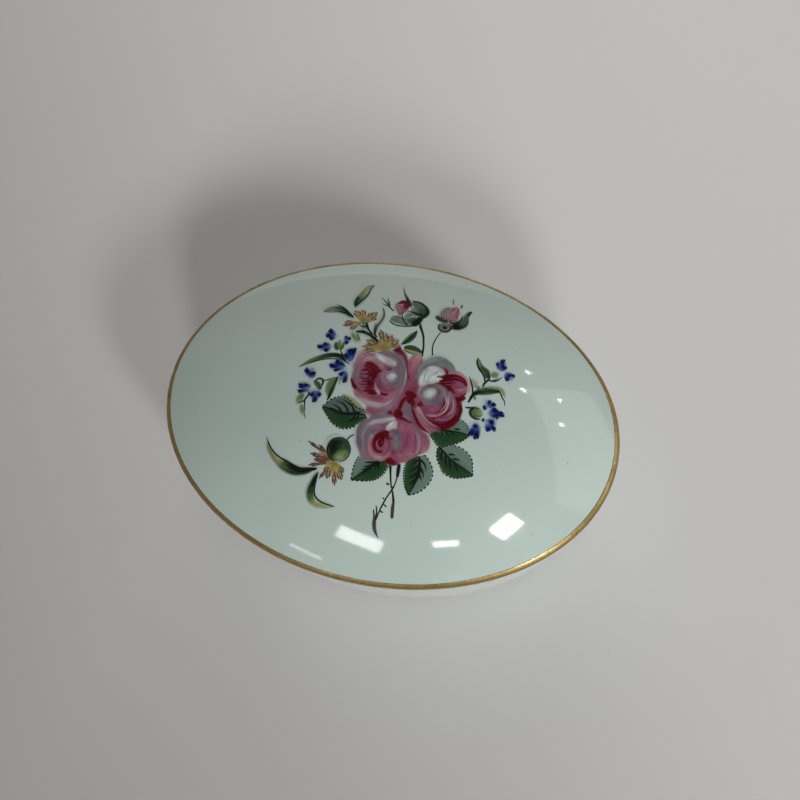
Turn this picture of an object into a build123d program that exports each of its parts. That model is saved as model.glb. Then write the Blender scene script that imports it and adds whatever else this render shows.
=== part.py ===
from build123d import *
import math
import os

# An oval porcelain trinket box: a deep oval base and a domed lid that lifts straight off.
# +X runs along the box, +Y across it and +Z up.
# The origin is on the table, under the middle of the foot. Sizes are in millimetres.

# Overall sizes
box_length = 82.0         # across the lid's edge, which is the widest place
box_width = 60.4
base_height = 23.0        # table to the rim that the lid rests on
lid_rise = 12.0           # that rim to the crown of the lid

# Base
lid_overhang = 0.35       # how far the lid's edge stands out past the base
base_wall = 2.6
base_floor = 2.8
wall_draft = 0.6          # how much the wall leans in between its rim and its heel
heel_radius = 2.4         # bend from the outside of the wall to the underside
bowl_radius = 4.5         # bend from the inside of the wall to the floor
rim_round = 0.5

# Unglazed foot ring under the base
foot_height = 1.2
foot_width = 2.4
foot_inset = 2.8          # from the heel of the wall to the ring
foot_round = 0.4

# Lid
lid_wall = 2.4
edge_round = 0.4          # bottom corner of the lid's edge
edge_upright = 0.5        # straight part of the edge, between its corner and the shoulder
shoulder_radius = 0.7     # bend from the upright edge to the dome

# Flange under the lid, which keeps it centred in the mouth of the base
flange_depth = 3.0
flange_wall = 1.8
flange_clearance = 0.4
flange_round = 0.5

# Gilt line fired on the lid's shoulder
gilt_run = 0.75           # how far it runs up the dome from the shoulder
gilt_thickness = 0.12     # let into the glaze and flush with it

# Half sizes of each oval, from the outside in
lid_a, lid_b = box_length / 2, box_width / 2
rim_a, rim_b = lid_a - lid_overhang, lid_b - lid_overhang
heel_a, heel_b = rim_a - wall_draft, rim_b - wall_draft
foot_a, foot_b = heel_a - foot_inset, heel_b - foot_inset
recess_a, recess_b = foot_a - foot_width, foot_b - foot_width
mouth_a, mouth_b = rim_a - base_wall, rim_b - base_wall
flange_a, flange_b = mouth_a - flange_clearance, mouth_b - flange_clearance
hollow_a, hollow_b = flange_a - flange_wall, flange_b - flange_wall

# Heights of the base's floor and of the lid's flange
floor_z = foot_height + base_floor
flange_z = base_height - flange_depth

# The dome is one arc centred on the axis, tangent to the shoulder's small arc
shoulder_z = base_height + edge_round + edge_upright
crown_z = base_height + lid_rise
crown_drop = crown_z - shoulder_z
shoulder_r = lid_a - shoulder_radius
crown_radius = (shoulder_r**2 + crown_drop**2 - shoulder_radius**2) / (2 * (crown_drop - shoulder_radius))
centre_z = crown_z - crown_radius
shoulder_angle = math.atan2(shoulder_z - centre_z, shoulder_r)
gilt_angle = shoulder_angle + gilt_run / crown_radius


def oval(outline, half_length, half_width):
    # Turns a closed half outline about Z, then narrows it across Y into an oval.
    turned = revolve(make_face(outline), Axis.Z)
    return scale(turned, by=(1, half_width / half_length, 1))


def oval_from_corners(corners, half_length, half_width):
    # Each corner is (distance from the axis, height, rounding).
    points = [(distance, 0, height) for distance, height, rounding in corners]
    roundings = [rounding for distance, height, rounding in corners]
    return oval(FilletPolyline(*points, radius=roundings, close=True), half_length, half_width)


def opening(half_length, half_width, closed_z, open_z, corner, lip):
    # Space of a bowl or a recess: rounded at its closed end, with a rounded lip at its open end.
    past = open_z + math.copysign(1, open_z - closed_z)
    flare = half_length + 2 * lip
    corners = [
        (0, closed_z, 0),
        (half_length, closed_z, corner),
        (half_length, open_z, lip),
        (flare, open_z, 0),
        (flare, past, 0),
        (0, past, 0),
    ]
    return oval_from_corners(corners, half_length, half_width)


def arc(radius, start, end, from_r=0.0, from_z=centre_z):
    # An arc in the X-Z plane; its angles are measured up from the horizontal.
    angles = (start, (start + end) / 2, end)
    points = [(from_r + radius * math.cos(a), 0, from_z + radius * math.sin(a)) for a in angles]
    return ThreePointArc(*points)


def shoulder_arc(radius, start, end):
    return arc(radius, start, end, shoulder_r, shoulder_z)


def joined(first, second):
    # The straight step between the ends of two arcs.
    return Line(first @ 1, second @ 0)


def make_base():
    corners = [
        (0, foot_height, 0),
        (heel_a, foot_height, heel_radius),
        (rim_a, base_height, rim_round),
        (0, base_height, 0),
    ]
    body = oval_from_corners(corners, rim_a, rim_b)
    ring_top = foot_height + base_floor / 2
    foot_corners = [(0, 0, 0), (foot_a, 0, foot_round), (foot_a, ring_top, 0), (0, ring_top, 0)]
    foot = oval_from_corners(foot_corners, foot_a, foot_b)
    recess = opening(recess_a, recess_b, foot_height, 0, foot_round, foot_round)
    bowl = opening(mouth_a, mouth_b, floor_z, base_height, bowl_radius, rim_round)
    return body + foot - recess - bowl


def make_dome():
    # The lid's outside, solid down to the seat, with a shallow groove for the gilt line.
    groove_shoulder = shoulder_arc(shoulder_radius - gilt_thickness, 0, shoulder_angle)
    groove_run = arc(crown_radius - gilt_thickness, shoulder_angle, gilt_angle)
    crown = arc(crown_radius, gilt_angle, math.pi / 2)
    corner = arc(edge_round, -math.pi / 2, 0, lid_a - edge_round, base_height + edge_round)
    edge_top = (lid_a, 0, shoulder_z)
    outline = [
        Line((0, 0, base_height), corner @ 0),
        corner,
        Line(corner @ 1, edge_top),
        Line(edge_top, groove_shoulder @ 0),
        groove_shoulder,
        groove_run,
        joined(groove_run, crown),
        crown,
        Line(crown @ 1, (0, 0, base_height)),
    ]
    return oval(outline, lid_a, lid_b)


def make_vault():
    # The space under the lid: the flange's inside, vaulted by an arc parallel to the dome.
    vault = arc(crown_radius - lid_wall, math.acos(hollow_a / (crown_radius - lid_wall)), math.pi / 2)
    below = flange_z - 1
    flare = hollow_a + 2 * flange_round
    lip = (hollow_a, 0, flange_z)
    side = FilletPolyline(
        (0, 0, below), (flare, 0, below), (flare, 0, flange_z), lip, vault @ 0,
        radius=[0, 0, flange_round],
    )
    outline = [side, vault, Line(vault @ 1, (0, 0, below))]
    return oval(outline, hollow_a, hollow_b)


def make_lid():
    flange_corners = [
        (0, flange_z, 0),
        (flange_a, flange_z, flange_round),
        (flange_a, shoulder_z, 0),
        (0, shoulder_z, 0),
    ]
    flange = oval_from_corners(flange_corners, flange_a, flange_b)
    return make_dome() + flange - make_vault()


def make_gilt_line():
    outer_shoulder = shoulder_arc(shoulder_radius, 0, shoulder_angle)
    outer_run = arc(crown_radius, shoulder_angle, gilt_angle)
    inner_run = arc(crown_radius - gilt_thickness, gilt_angle, shoulder_angle)
    inner_shoulder = shoulder_arc(shoulder_radius - gilt_thickness, shoulder_angle, 0)
    outline = [
        outer_shoulder,
        outer_run,
        joined(outer_run, inner_run),
        inner_run,
        inner_shoulder,
        joined(inner_shoulder, outer_shoulder),
    ]
    return oval(outline, lid_a, lid_b)


os.makedirs("parts", exist_ok=True)
export_step(make_base(), "parts/base.step")
export_step(make_lid(), "parts/lid.step")
export_step(make_gilt_line(), "parts/lid_gilt_line.step")
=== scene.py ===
import math
import bmesh
import bpy
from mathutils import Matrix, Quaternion, Vector, noise
from mathutils.bvhtree import BVHTree


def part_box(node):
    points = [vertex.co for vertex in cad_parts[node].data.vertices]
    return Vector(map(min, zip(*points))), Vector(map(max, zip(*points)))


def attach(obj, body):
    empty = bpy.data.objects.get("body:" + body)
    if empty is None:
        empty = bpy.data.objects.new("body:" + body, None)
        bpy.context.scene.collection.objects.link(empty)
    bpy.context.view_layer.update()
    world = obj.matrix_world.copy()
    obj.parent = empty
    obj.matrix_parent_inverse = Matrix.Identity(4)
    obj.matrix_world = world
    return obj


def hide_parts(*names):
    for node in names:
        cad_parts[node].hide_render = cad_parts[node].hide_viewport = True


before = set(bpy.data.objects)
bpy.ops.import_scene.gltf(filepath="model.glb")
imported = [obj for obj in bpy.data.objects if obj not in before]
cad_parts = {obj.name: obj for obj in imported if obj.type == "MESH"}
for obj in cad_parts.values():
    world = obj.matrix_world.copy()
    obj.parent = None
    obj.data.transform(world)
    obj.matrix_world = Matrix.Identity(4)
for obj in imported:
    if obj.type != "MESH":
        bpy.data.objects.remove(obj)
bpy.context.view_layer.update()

mm = 0.001

# Places taken from the frame: the rim the lid rests on, the crown and the lid's widest oval
baseHigh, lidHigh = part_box("base")[1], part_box("lid")[1]
seat, crown = baseHigh.z, lidHigh.z
lidLength, lidWidth = lidHigh.x, lidHigh.y      # half sizes, like every oval below
rimLength, rimWidth = baseHigh.x, baseHigh.y


class Sock:
    # wraps an output socket, so that shader maths reads as ordinary sums
    def __init__(self, tree, link):
        self.tree, self.link = tree, link

    def math(self, operation, other, flip=False):
        pair = [other, self] if flip else [self, other]
        return node(self.tree, "ShaderNodeMath", {"operation": operation}, {0: pair[0], 1: pair[1]})

    def __add__(self, other):
        return self.math("ADD", other)

    def __sub__(self, other):
        return self.math("SUBTRACT", other)

    def __rsub__(self, other):
        return self.math("SUBTRACT", other, True)

    def __mul__(self, other):
        return self.math("MULTIPLY", other)

    __radd__ = __add__
    __rmul__ = __mul__


def node(tree, kind, settings=None, inputs=None, output=0):
    made = tree.nodes.new(kind)
    for name, value in (settings or {}).items():
        if name == "stops":
            ramp = made.color_ramp
            while len(ramp.elements) < len(value):
                ramp.elements.new(0.5)
            for element, (place, colour) in zip(ramp.elements, value):
                element.position, element.color = place, colour
        else:
            setattr(made, name, value)
    for name, value in (inputs or {}).items():
        if isinstance(value, Sock):
            tree.links.new(value.link, made.inputs[name])
        else:
            made.inputs[name].default_value = value
    return Sock(tree, made.outputs[output])


def blendColour(tree, amount, first, second, way="MIX"):
    settings = {"data_type": "RGBA", "blend_type": way, "clamp_factor": True}
    return node(tree, "ShaderNodeMix", settings, {0: amount, 6: first, 7: second}, 2)


def smoothStep(tree, value, low, high):
    settings = {"interpolation_type": "SMOOTHSTEP"}
    return node(tree, "ShaderNodeMapRange", settings, {0: value, 1: low, 2: high, 3: 0.0, 4: 1.0})


def newMaterial(name):
    made = bpy.data.materials.new(name)
    made.use_nodes = True
    shader = made.node_tree.nodes["Principled BSDF"]
    return made, made.node_tree, shader


def feed(tree, shader, name, value):
    if isinstance(value, Sock):
        tree.links.new(value.link, shader.inputs[name])
    else:
        shader.inputs[name].default_value = value


camera = {
    "place": (19.836, -42.351, 159.762),     # mm
    "aim": (1.706, 2.732, 25.0),
    "turn": -9.756,                    # degrees about the line of sight
    "lens": 36.09,
}


def makeCamera(c):
    data = bpy.data.cameras.new("camera")
    data.lens, data.sensor_width = c["lens"], 36
    data.clip_start, data.clip_end = 0.01, 20
    made = bpy.data.objects.new("camera", data)
    bpy.context.scene.collection.objects.link(made)
    look = Vector(c["aim"]) - Vector(c["place"])
    made.location = Vector(c["place"]) * mm
    made.rotation_mode = "QUATERNION"
    made.rotation_quaternion = look.to_track_quat("-Z", "Y") @ Quaternion((0, 0, 1), math.radians(c["turn"]))
    bpy.context.scene.camera = made


# Azimuth is from +X towards +Y; sizes, distances and aims are in mm. The panes are small bright cards that
# show only as reflections in the glaze, the daylight and the sky only light things.
lights = {
    "daylight": {"kind": "SPOT", "azimuth": -42, "elevation": 29, "distance": 1200, "aim": (98, 76, 0),
                 "beam": 17.0,
                 "radius": 190, "watts": 58.0, "colour": (0.975, 0.99, 1.0), "shines": True, "reflects": False},
    "daylight_low": {"kind": "SPOT", "azimuth": -67, "elevation": 26, "distance": 1200, "aim": (98, 76, 0),
                     "beam": 17.0, "radius": 210, "watts": 62.0, "colour": (0.975, 0.99, 1.0), "shines": True,
                     "reflects": False},
    "wall_fill": {"azimuth": 105, "elevation": 12, "distance": 700, "size": (500, 200), "watts": 1.4,
                  "colour": (1.0, 0.98, 0.95), "shines": True, "reflects": False},
    "wall_right": {"azimuth": 18, "elevation": 32, "distance": 600, "size": (560, 240), "watts": 0.4},
    "window": {"azimuth": -39, "elevation": 41.5, "distance": 380, "size": (64, 34), "turn": 14,
               "watts": 0.6},
    "window_low": {"azimuth": -98, "elevation": 38, "distance": 380, "size": (88, 36), "turn": -8,
                   "watts": 0.11},
    "window_edge": {"azimuth": -66, "elevation": 40.5, "distance": 380, "size": (50, 14), "turn": 0,
                    "watts": 0.045},
    "streak": {"azimuth": -112, "elevation": 24.8, "distance": 380, "size": (64, 8), "turn": 0,
               "watts": 0.009},
    "lamp_a": {"azimuth": 56, "elevation": 31.6, "distance": 380, "size": (11, 9), "turn": 0, "watts": 0.006},
    "lamp_b": {"azimuth": 49, "elevation": 39.9, "distance": 380, "size": (13, 9), "turn": 0, "watts": 0.007},
    "lamp_c": {"azimuth": 41, "elevation": 30.8, "distance": 380, "size": (9, 8), "turn": 0, "watts": 0.005},
    "lamp_d": {"azimuth": 29, "elevation": 36.2, "distance": 380, "size": (9, 9), "turn": 0, "watts": 0.005},
}


def makeLight(name, c):
    spot = c.get("kind") == "SPOT"
    data = bpy.data.lights.new(name, "SPOT" if spot else "AREA")
    if spot:
        data.spot_size, data.spot_blend = math.radians(c["beam"]), 1.0
        data.shadow_soft_size = c["radius"] * mm
    else:
        data.shape = "RECTANGLE"
        data.size, data.size_y = c["size"][0] * mm, c["size"][1] * mm
    data.energy = c["watts"]
    data.color = c.get("colour", (1, 1, 1))
    made = bpy.data.objects.new(name, data)
    bpy.context.scene.collection.objects.link(made)
    az, el = math.radians(c["azimuth"]), math.radians(c["elevation"])
    out = Vector((math.cos(az) * math.cos(el), math.sin(az) * math.cos(el), math.sin(el)))
    made.location = (out * c["distance"] + Vector(c.get("aim", (0, 0, seat / mm)))) * mm
    made.rotation_mode = "QUATERNION"
    turn = Quaternion((0, 0, 1), math.radians(c.get("turn", 0)))
    made.rotation_quaternion = (-out).to_track_quat("-Z", "Y") @ turn
    made.visible_diffuse = c.get("shines", False)
    made.visible_glossy = c.get("reflects", True)


floorGap = 0.02     # mm


def makeSurroundings():
    world = bpy.data.worlds.new("studio")
    bpy.context.scene.world = world
    world.use_nodes = True
    world.node_tree.nodes["Background"].inputs["Color"].default_value = (1.0, 0.955, 0.93, 1)
    world.node_tree.nodes["Background"].inputs["Strength"].default_value = 0.2
    bpy.context.scene.view_settings.view_transform = "Standard"
    bm = bmesh.new()
    bmesh.ops.create_grid(bm, x_segments=8, y_segments=8, size=1.5)
    data = bpy.data.meshes.new("floor")
    bm.to_mesh(data)
    bm.free()
    floor = bpy.data.objects.new("floor", data)
    bpy.context.scene.collection.objects.link(floor)
    floor.location.z = -floorGap * mm      # just clear of the foot ring
    surface, tree, shader = newMaterial("pale_floor")
    feed(tree, shader, "Base Color", (0.78, 0.775, 0.76, 1))
    feed(tree, shader, "Roughness", 0.6)
    data.materials.append(surface)


shape = {
    "steps": 256,             # faces round every oval; everything below is in mm
    "wall": 2.6, "floor": 2.8, "draft": 0.6, "heel": 2.4, "bowl": 4.5, "rim": 0.5,
    "footHeight": 1.2, "footWidth": 2.4, "footInset": 2.8, "footRound": 0.4,
    "lidWall": 2.4, "edgeRound": 0.4, "edgeUpright": 0.5, "shoulder": 0.7,
    "flangeDepth": 3.0, "flangeWall": 1.8, "clearance": 0.4, "flangeRound": 0.5, "vault": 1.5,
    "giltRun": 0.75, "giltProud": 0.02, "giltSunk": 0.06,
}

# the dome is one arc centred on the axis and tangent to the shoulder
shoulderZ = seat + (shape["edgeRound"] + shape["edgeUpright"]) * mm
shoulderR = lidLength - shape["shoulder"] * mm
drop = crown - shoulderZ
small = shape["shoulder"] * mm
crownRadius = (shoulderR ** 2 + drop ** 2 - small ** 2) / (2 * (drop - small))
centreZ = crown - crownRadius
shoulderAngle = math.atan2(shoulderZ - centreZ, shoulderR)
giltAngle = shoulderAngle + shape["giltRun"] * mm / crownRadius


def arcPoints(radius, start, end, steps, fromR=0.0, fromZ=centreZ):
    angles = [start + (end - start) * i / steps for i in range(steps + 1)]
    return [(fromR + radius * math.cos(a), fromZ + radius * math.sin(a)) for a in angles]


def roundedPath(corners, steps=6, guard=0.12):
    # corners are (distance, height, rounding) in metres; guard keeps the shading of long faces flat
    path = []
    for i, (x, z, radius) in enumerate(corners):
        here = Vector((x, z))
        if radius == 0:
            path.append(here)
            continue
        back = (Vector(corners[i - 1][:2]) - here).normalized()
        ahead = (Vector(corners[i + 1][:2]) - here).normalized()
        half = back.angle(ahead) / 2
        run = radius / math.tan(half)
        middle = here + (back + ahead).normalized() * radius / math.sin(half)
        start, end = here + back * run - middle, here + ahead * run - middle
        first = math.atan2(start.y, start.x)
        sweep = math.remainder(math.atan2(end.y, end.x) - first, math.tau)
        path.append(middle + start + back * radius * guard)
        path += arcPoints(radius, first, first + sweep, steps, *middle)
        path.append(middle + end + ahead * radius * guard)
    return [tuple(p) for p in path]


def section(path, halfLength, halfWidth):
    # a stretch of outline and how much its oval is narrowed across Y
    return [(x, z, halfWidth / halfLength) for x, z in path]


def spinOval(bm, outline, closed=False):
    # the outline is drawn in X and Z, spun round Z, merged and narrowed
    narrow = bm.verts.layers.float.get("narrow") or bm.verts.layers.float.new("narrow")
    verts = []
    for x, z, ratio in outline:
        vert = bm.verts.new((x, 0, z))
        vert[narrow] = ratio
        verts.append(vert)
    pairs = list(zip(verts, verts[1:])) + ([(verts[-1], verts[0])] if closed else [])
    edges = [bm.edges.new(pair) for pair in pairs]
    bmesh.ops.spin(bm, geom=verts + edges, cent=(0, 0, 0), axis=(0, 0, 1), angle=math.tau,
                   steps=shape["steps"], use_merge=True)
    bmesh.ops.remove_doubles(bm, verts=bm.verts[:], dist=0.002 * mm)
    for vert in bm.verts:
        vert.co.y *= vert[narrow]
    bmesh.ops.recalc_face_normals(bm, faces=bm.faces[:])


def finishPiece(name, bm, surfaces, body, replaced=()):
    data = bpy.data.meshes.new(name)
    bm.to_mesh(data)
    bm.free()
    data.polygons.foreach_set("use_smooth", [True] * len(data.polygons))
    for surface in surfaces:
        data.materials.append(surface)
    made = bpy.data.objects.new(name, data)
    bpy.context.scene.collection.objects.link(made)
    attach(made, body)
    if replaced:
        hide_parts(*replaced)
    print("made", name, len(data.polygons), "faces")
    return made


def makeBase(surface):
    s = {name: value * mm for name, value in shape.items()}
    heel = rimLength - s["draft"]
    footLength, recessLength = heel - s["footInset"], heel - s["footInset"] - s["footWidth"]
    mouthLength = rimLength - s["wall"]
    floorZ, middle = s["footHeight"] + s["floor"], s["footWidth"] / 2
    recess = roundedPath([(0, s["footHeight"], 0), (recessLength, s["footHeight"], s["footRound"]),
                          (recessLength, 0, s["footRound"]), (recessLength + middle, 0, 0)])
    foot = roundedPath([(footLength - middle, 0, 0), (footLength, 0, s["footRound"]),
                        (footLength, s["footHeight"], s["footRound"]), (footLength + middle / 2,
                                                                        s["footHeight"], 0)])
    wall = roundedPath([(heel - s["heel"] * 1.05, s["footHeight"], 0), (heel, s["footHeight"], s["heel"]),
                        (rimLength, seat, s["rim"]), (rimLength - s["wall"] / 2, seat, 0)], 10)
    bowl = roundedPath([(mouthLength + s["wall"] / 2, seat, 0), (mouthLength, seat, s["rim"]),
                        (mouthLength, floorZ, s["bowl"]), (0, floorZ, 0)], 10)
    # across Y each oval is less than along X by the same inset, and close to the axis it is simply halved;
    # the foot and the wall each lose their nearest points, which would fold over each other
    inset = rimLength - rimWidth
    path = recess + foot[:-2] + wall[2:] + bowl
    outline = [(x, z, max(x - inset, inset) / max(x, 2 * inset)) for x, z in path]
    bm = bmesh.new()
    spinOval(bm, outline)
    return finishPiece("base_porcelain", bm, [surface], "base", ["base"])


def makeLid(surface):
    s = {name: value * mm for name, value in shape.items()}
    flangeLength, flangeWidth = [r - s["wall"] - s["clearance"] for r in (rimLength, rimWidth)]
    hollowLength, hollowWidth = flangeLength - s["flangeWall"], flangeWidth - s["flangeWall"]
    flangeZ, middle = seat - s["flangeDepth"], s["flangeWall"] / 2
    crownArc = arcPoints(crownRadius, math.pi / 2, shoulderAngle, 48)
    shoulder = arcPoints(s["shoulder"], shoulderAngle, 0, 6, shoulderR, shoulderZ)
    edge = roundedPath([shoulder[-1] + (0,), (lidLength, seat, s["edgeRound"]),
                        (rimLength - s["wall"] / 2, seat, 0)])
    flange = roundedPath([(rimLength - s["wall"] / 2, seat, 0), (flangeLength, seat, s["clearance"] * 0.5),
                          (flangeLength, flangeZ, s["flangeRound"]), (flangeLength - middle, flangeZ, 0)])
    vaultRadius = crownRadius - s["lidWall"]
    vaultAngle = math.acos((hollowLength - s["vault"] * 0.6) / vaultRadius)
    vault = arcPoints(vaultRadius, vaultAngle, math.pi / 2, 32)
    inside = roundedPath([(hollowLength + middle, flangeZ, 0), (hollowLength, flangeZ, s["flangeRound"]),
                          (hollowLength, vault[0][1] - s["vault"] * 0.6, 0)])
    outline = section(crownArc + shoulder[1:] + edge[1:], lidLength, lidWidth)
    outline += section(flange, flangeLength, flangeWidth) + section(inside + vault, hollowLength, hollowWidth)
    bm = bmesh.new()
    spinOval(bm, outline)
    return finishPiece("lid_porcelain", bm, [surface], "lid", ["lid"])


def makeGiltLine(surface):
    s = {name: value * mm for name, value in shape.items()}
    high, low = s["giltProud"], s["giltSunk"]
    outline = arcPoints(s["shoulder"] + high, 0, shoulderAngle, 6, shoulderR, shoulderZ)
    outline += arcPoints(crownRadius + high, shoulderAngle, giltAngle, 3)[1:]
    outline += arcPoints(crownRadius - low, giltAngle + s["giltProud"] / crownRadius, shoulderAngle, 3)
    outline += arcPoints(s["shoulder"] - low, shoulderAngle, 0, 4, shoulderR, shoulderZ)[1:]
    bm = bmesh.new()
    spinOval(bm, section(outline, lidLength, lidWidth), True)
    return finishPiece("lid_gilt_edge", bm, [surface], "lid", ["lid_gilt_line"])


glaze = {
    "colour": (0.605, 0.725, 0.672, 1),      # the lid's
    "pooled": (0.565, 0.70, 0.642, 1),
    "baseColour": (0.655, 0.705, 0.66, 1),
    "basePooled": (0.625, 0.685, 0.635, 1),
    "speck": (0.24, 0.23, 0.18, 1),
    "bisque": (0.66, 0.63, 0.57, 1),
    "drift": 45.0,            # how quickly the tint wanders, over a metre
    "specks": 1500.0,
    "speckEdge": (0.775, 0.80),
    "speckStrength": 0.45,
    "grit": 4200.0,           # of the bare biscuit
    "pooling": (0.35, 0.7),   # where the thin tint turns into the pooled one
    "waves": 90.0,
    "gloss": 0.042,           # lowest roughness of the glaze
}

gilding = {
    "bright": (0.57, 0.42, 0.17, 1),
    "worn": (0.33, 0.23, 0.085, 1),
    "clouds": 260.0,
    "strokes": 1500.0,
    "wear": (0.38, 0.66),
}


def glazeMaterial(name, thin, pooled, bareBelow):
    # glazed all over but for the edge that stood in the kiln, which lies under bareBelow (metres)
    surface, tree, shader = newMaterial(name)
    place = node(tree, "ShaderNodeTexCoord", output=3)
    drift = node(tree, "ShaderNodeTexNoise", {}, {"Vector": place, "Scale": glaze["drift"], "Detail": 3.0})
    dots = node(tree, "ShaderNodeTexNoise", {}, {"Vector": place, "Scale": glaze["specks"], "Detail": 1.0})
    waves = node(tree, "ShaderNodeTexNoise", {}, {"Vector": place, "Scale": glaze["waves"], "Detail": 2.0})
    grit = node(tree, "ShaderNodeTexNoise", {}, {"Vector": place, "Scale": glaze["grit"], "Detail": 2.0})
    height = node(tree, "ShaderNodeSeparateXYZ", {}, {0: place}, 2)
    bare = 1.0 - smoothStep(tree, height + drift * 0.0002, bareBelow, bareBelow + 0.00012)
    glazed = blendColour(tree, smoothStep(tree, drift, *glaze["pooling"]), thin, pooled)
    flecks = smoothStep(tree, dots, *glaze["speckEdge"]) * glaze["speckStrength"]
    speckled = blendColour(tree, flecks, glazed, glaze["speck"])
    feed(tree, shader, "Base Color", blendColour(tree, bare, speckled, glaze["bisque"]))
    feed(tree, shader, "Roughness", glaze["gloss"] + drift * 0.05 + bare * (0.5 + grit * 0.3))
    bump = node(tree, "ShaderNodeBump", {},
                {"Strength": 0.3, "Distance": 0.00002, "Height": waves + bare * grit * 2.0})
    feed(tree, shader, "Normal", bump)
    feed(tree, shader, "IOR", 1.52)
    return surface


def giltMaterial():
    # thin liquid gold: cloudy where it was laid on, browner where it has been rubbed
    surface, tree, shader = newMaterial("burnished_gilt")
    place = node(tree, "ShaderNodeTexCoord", output=3)
    cloud = node(tree, "ShaderNodeTexNoise", {}, {"Vector": place, "Scale": gilding["clouds"], "Detail": 4.0})
    stroke = node(tree, "ShaderNodeTexNoise", {},
                  {"Vector": place, "Scale": gilding["strokes"], "Detail": 3.0})
    wear = smoothStep(tree, cloud * 0.7 + stroke * 0.3, *gilding["wear"])
    feed(tree, shader, "Base Color", blendColour(tree, wear, gilding["bright"], gilding["worn"]))
    feed(tree, shader, "Metallic", 1.0 - wear * 0.15)
    feed(tree, shader, "Roughness", 0.22 + wear * 0.16 + stroke * 0.08)
    bump = node(tree, "ShaderNodeBump", {}, {"Strength": 0.2, "Distance": 0.00001, "Height": stroke + cloud})
    feed(tree, shader, "Normal", bump)
    return surface


# Every brush mark is a thin film of enamel fired onto the dome
enamel = {
    "lift": 0.0009,           # mm that each mark lies above the one before
    "thickness": 0.012,       # mm of each film
    "facet": 0.28,            # mm between points along a mark
    "row": 0.16,              # mm between points across it
    "wobble": 0.1,            # how unevenly the brush presses
    "press": 1.2,             # how far the hairs spread
    "hair": 0.5,              # how strongly single hairs show in a stroke
    "runOn": 0.35,            # how far an end runs on, in widths
    "samples": 30,            # places a stroke is measured at
    "gloss": 0.16,            # specular level, duller than the glaze
}

# how much of the bare glaze's red, green and blue each colour lets back through
palette = {
    "bare": (1.0, 1.0, 1.0), "white": (1.10, 1.03, 1.07), "pearl": (0.78, 0.74, 0.80), "cream": (0.84, 0.66, 0.74),
    "blush": (0.80, 0.43, 0.53), "pink": (0.68, 0.23, 0.33), "rose": (0.50, 0.12, 0.23),
    "deepRose": (0.37, 0.06, 0.14), "crimson": (0.26, 0.012, 0.028), "garnet": (0.19, 0.003, 0.010),
    "mist": (0.43, 0.22, 0.31), "haze": (0.33, 0.235, 0.285), "slate": (0.25, 0.18, 0.24),
    "lilac": (0.56, 0.32, 0.44), "smoke": (0.36, 0.36, 0.38),
    "ink": (0.010, 0.016, 0.010), "leaf": (0.022, 0.075, 0.030), "fern": (0.06, 0.12, 0.05),
    "sage": (0.255, 0.33, 0.295), "sageDark": (0.18, 0.23, 0.20), "olive": (0.52, 0.49, 0.24),
    "moss": (0.25, 0.32, 0.13), "oliveDark": (0.11, 0.16, 0.06), "paleGreen": (0.62, 0.68, 0.48),
    "navy": (0.003, 0.006, 0.125), "blue": (0.036, 0.062, 0.33), "sky": (0.18, 0.26, 0.55),
    "paleBlue": (0.60, 0.66, 0.88), "yellow": (0.80, 0.53, 0.20), "ochre": (0.54, 0.32, 0.10),
    "umber": (0.21, 0.10, 0.06), "plum": (0.15, 0.055, 0.10), "brown": (0.36, 0.21, 0.16),
}
paintings = []


def colourOf(name):
    return Vector([share * glaze["colour"][i] for i, share in enumerate(palette[name])])


def domeZ(x, y):
    # height of the lid's top over a place in mm
    reach = math.hypot(x, y * lidLength / lidWidth) * mm
    return centreZ + math.sqrt(crownRadius ** 2 - reach ** 2)


def ease(t):
    t = min(max(t, 0), 1)
    return t * t * (3 - 2 * t)


def alongList(values, t):
    # a value part of the way along a list, turning smoothly from one to the next
    if len(values) == 1:
        return values[0]
    place = min(max(t, 0), 1) * (len(values) - 1)
    i = min(int(place), len(values) - 2)
    return values[i] + (values[i + 1] - values[i]) * ease(place - i)


def curveThrough(points, t, closed=False):
    # a place on the smooth curve through the points
    count = len(points)
    place = (t % 1) * count if closed else min(max(t, 0), 1) * (count - 1)
    i = int(place) if closed else min(int(place), count - 2)
    f = place - i
    picked = [(i + k) % count if closed else min(max(i + k, 0), count - 1) for k in (-1, 0, 1, 2)]
    a, b, c, d = [Vector(points[k]) for k in picked]
    return 0.5 * (2 * b + (c - a) * f + (2 * a - 5 * b + 4 * c - d) * f ** 2
                  + (3 * b - a - 3 * c + d) * f ** 3)


def newPainting(lift):
    bm = bmesh.new()
    layers = bm.verts.layers
    art = {"bm": bm, "paint": layers.float_color.new("paint"), "grain": layers.float_vector.new("grain"),
           "lift": lift, "marks": 0, "tree": None}
    paintings.append(art)
    return art


def beneath(place):
    # the colour that already shows at a place, found by looking straight down on the films
    start, highest, shown = Vector((place.x * mm, place.y * mm, 0.1)), 0, colourOf("bare")
    for art in paintings:
        if art["tree"] is None:
            continue
        spot, _, index, _ = art["tree"].ray_cast(start, Vector((0, 0, -1)))
        if index is not None and spot.z > highest:
            highest = spot.z
            corners = art["bm"].faces[index].verts
            near = [(vert[art["paint"]], 1 / ((vert.co - spot).length + 1e-6)) for vert in corners]
            total = sum(weight for _, weight in near)
            shown = sum((Vector(colour[:3]) * weight for colour, weight in near), Vector((0, 0, 0))) / total
    return shown


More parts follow.
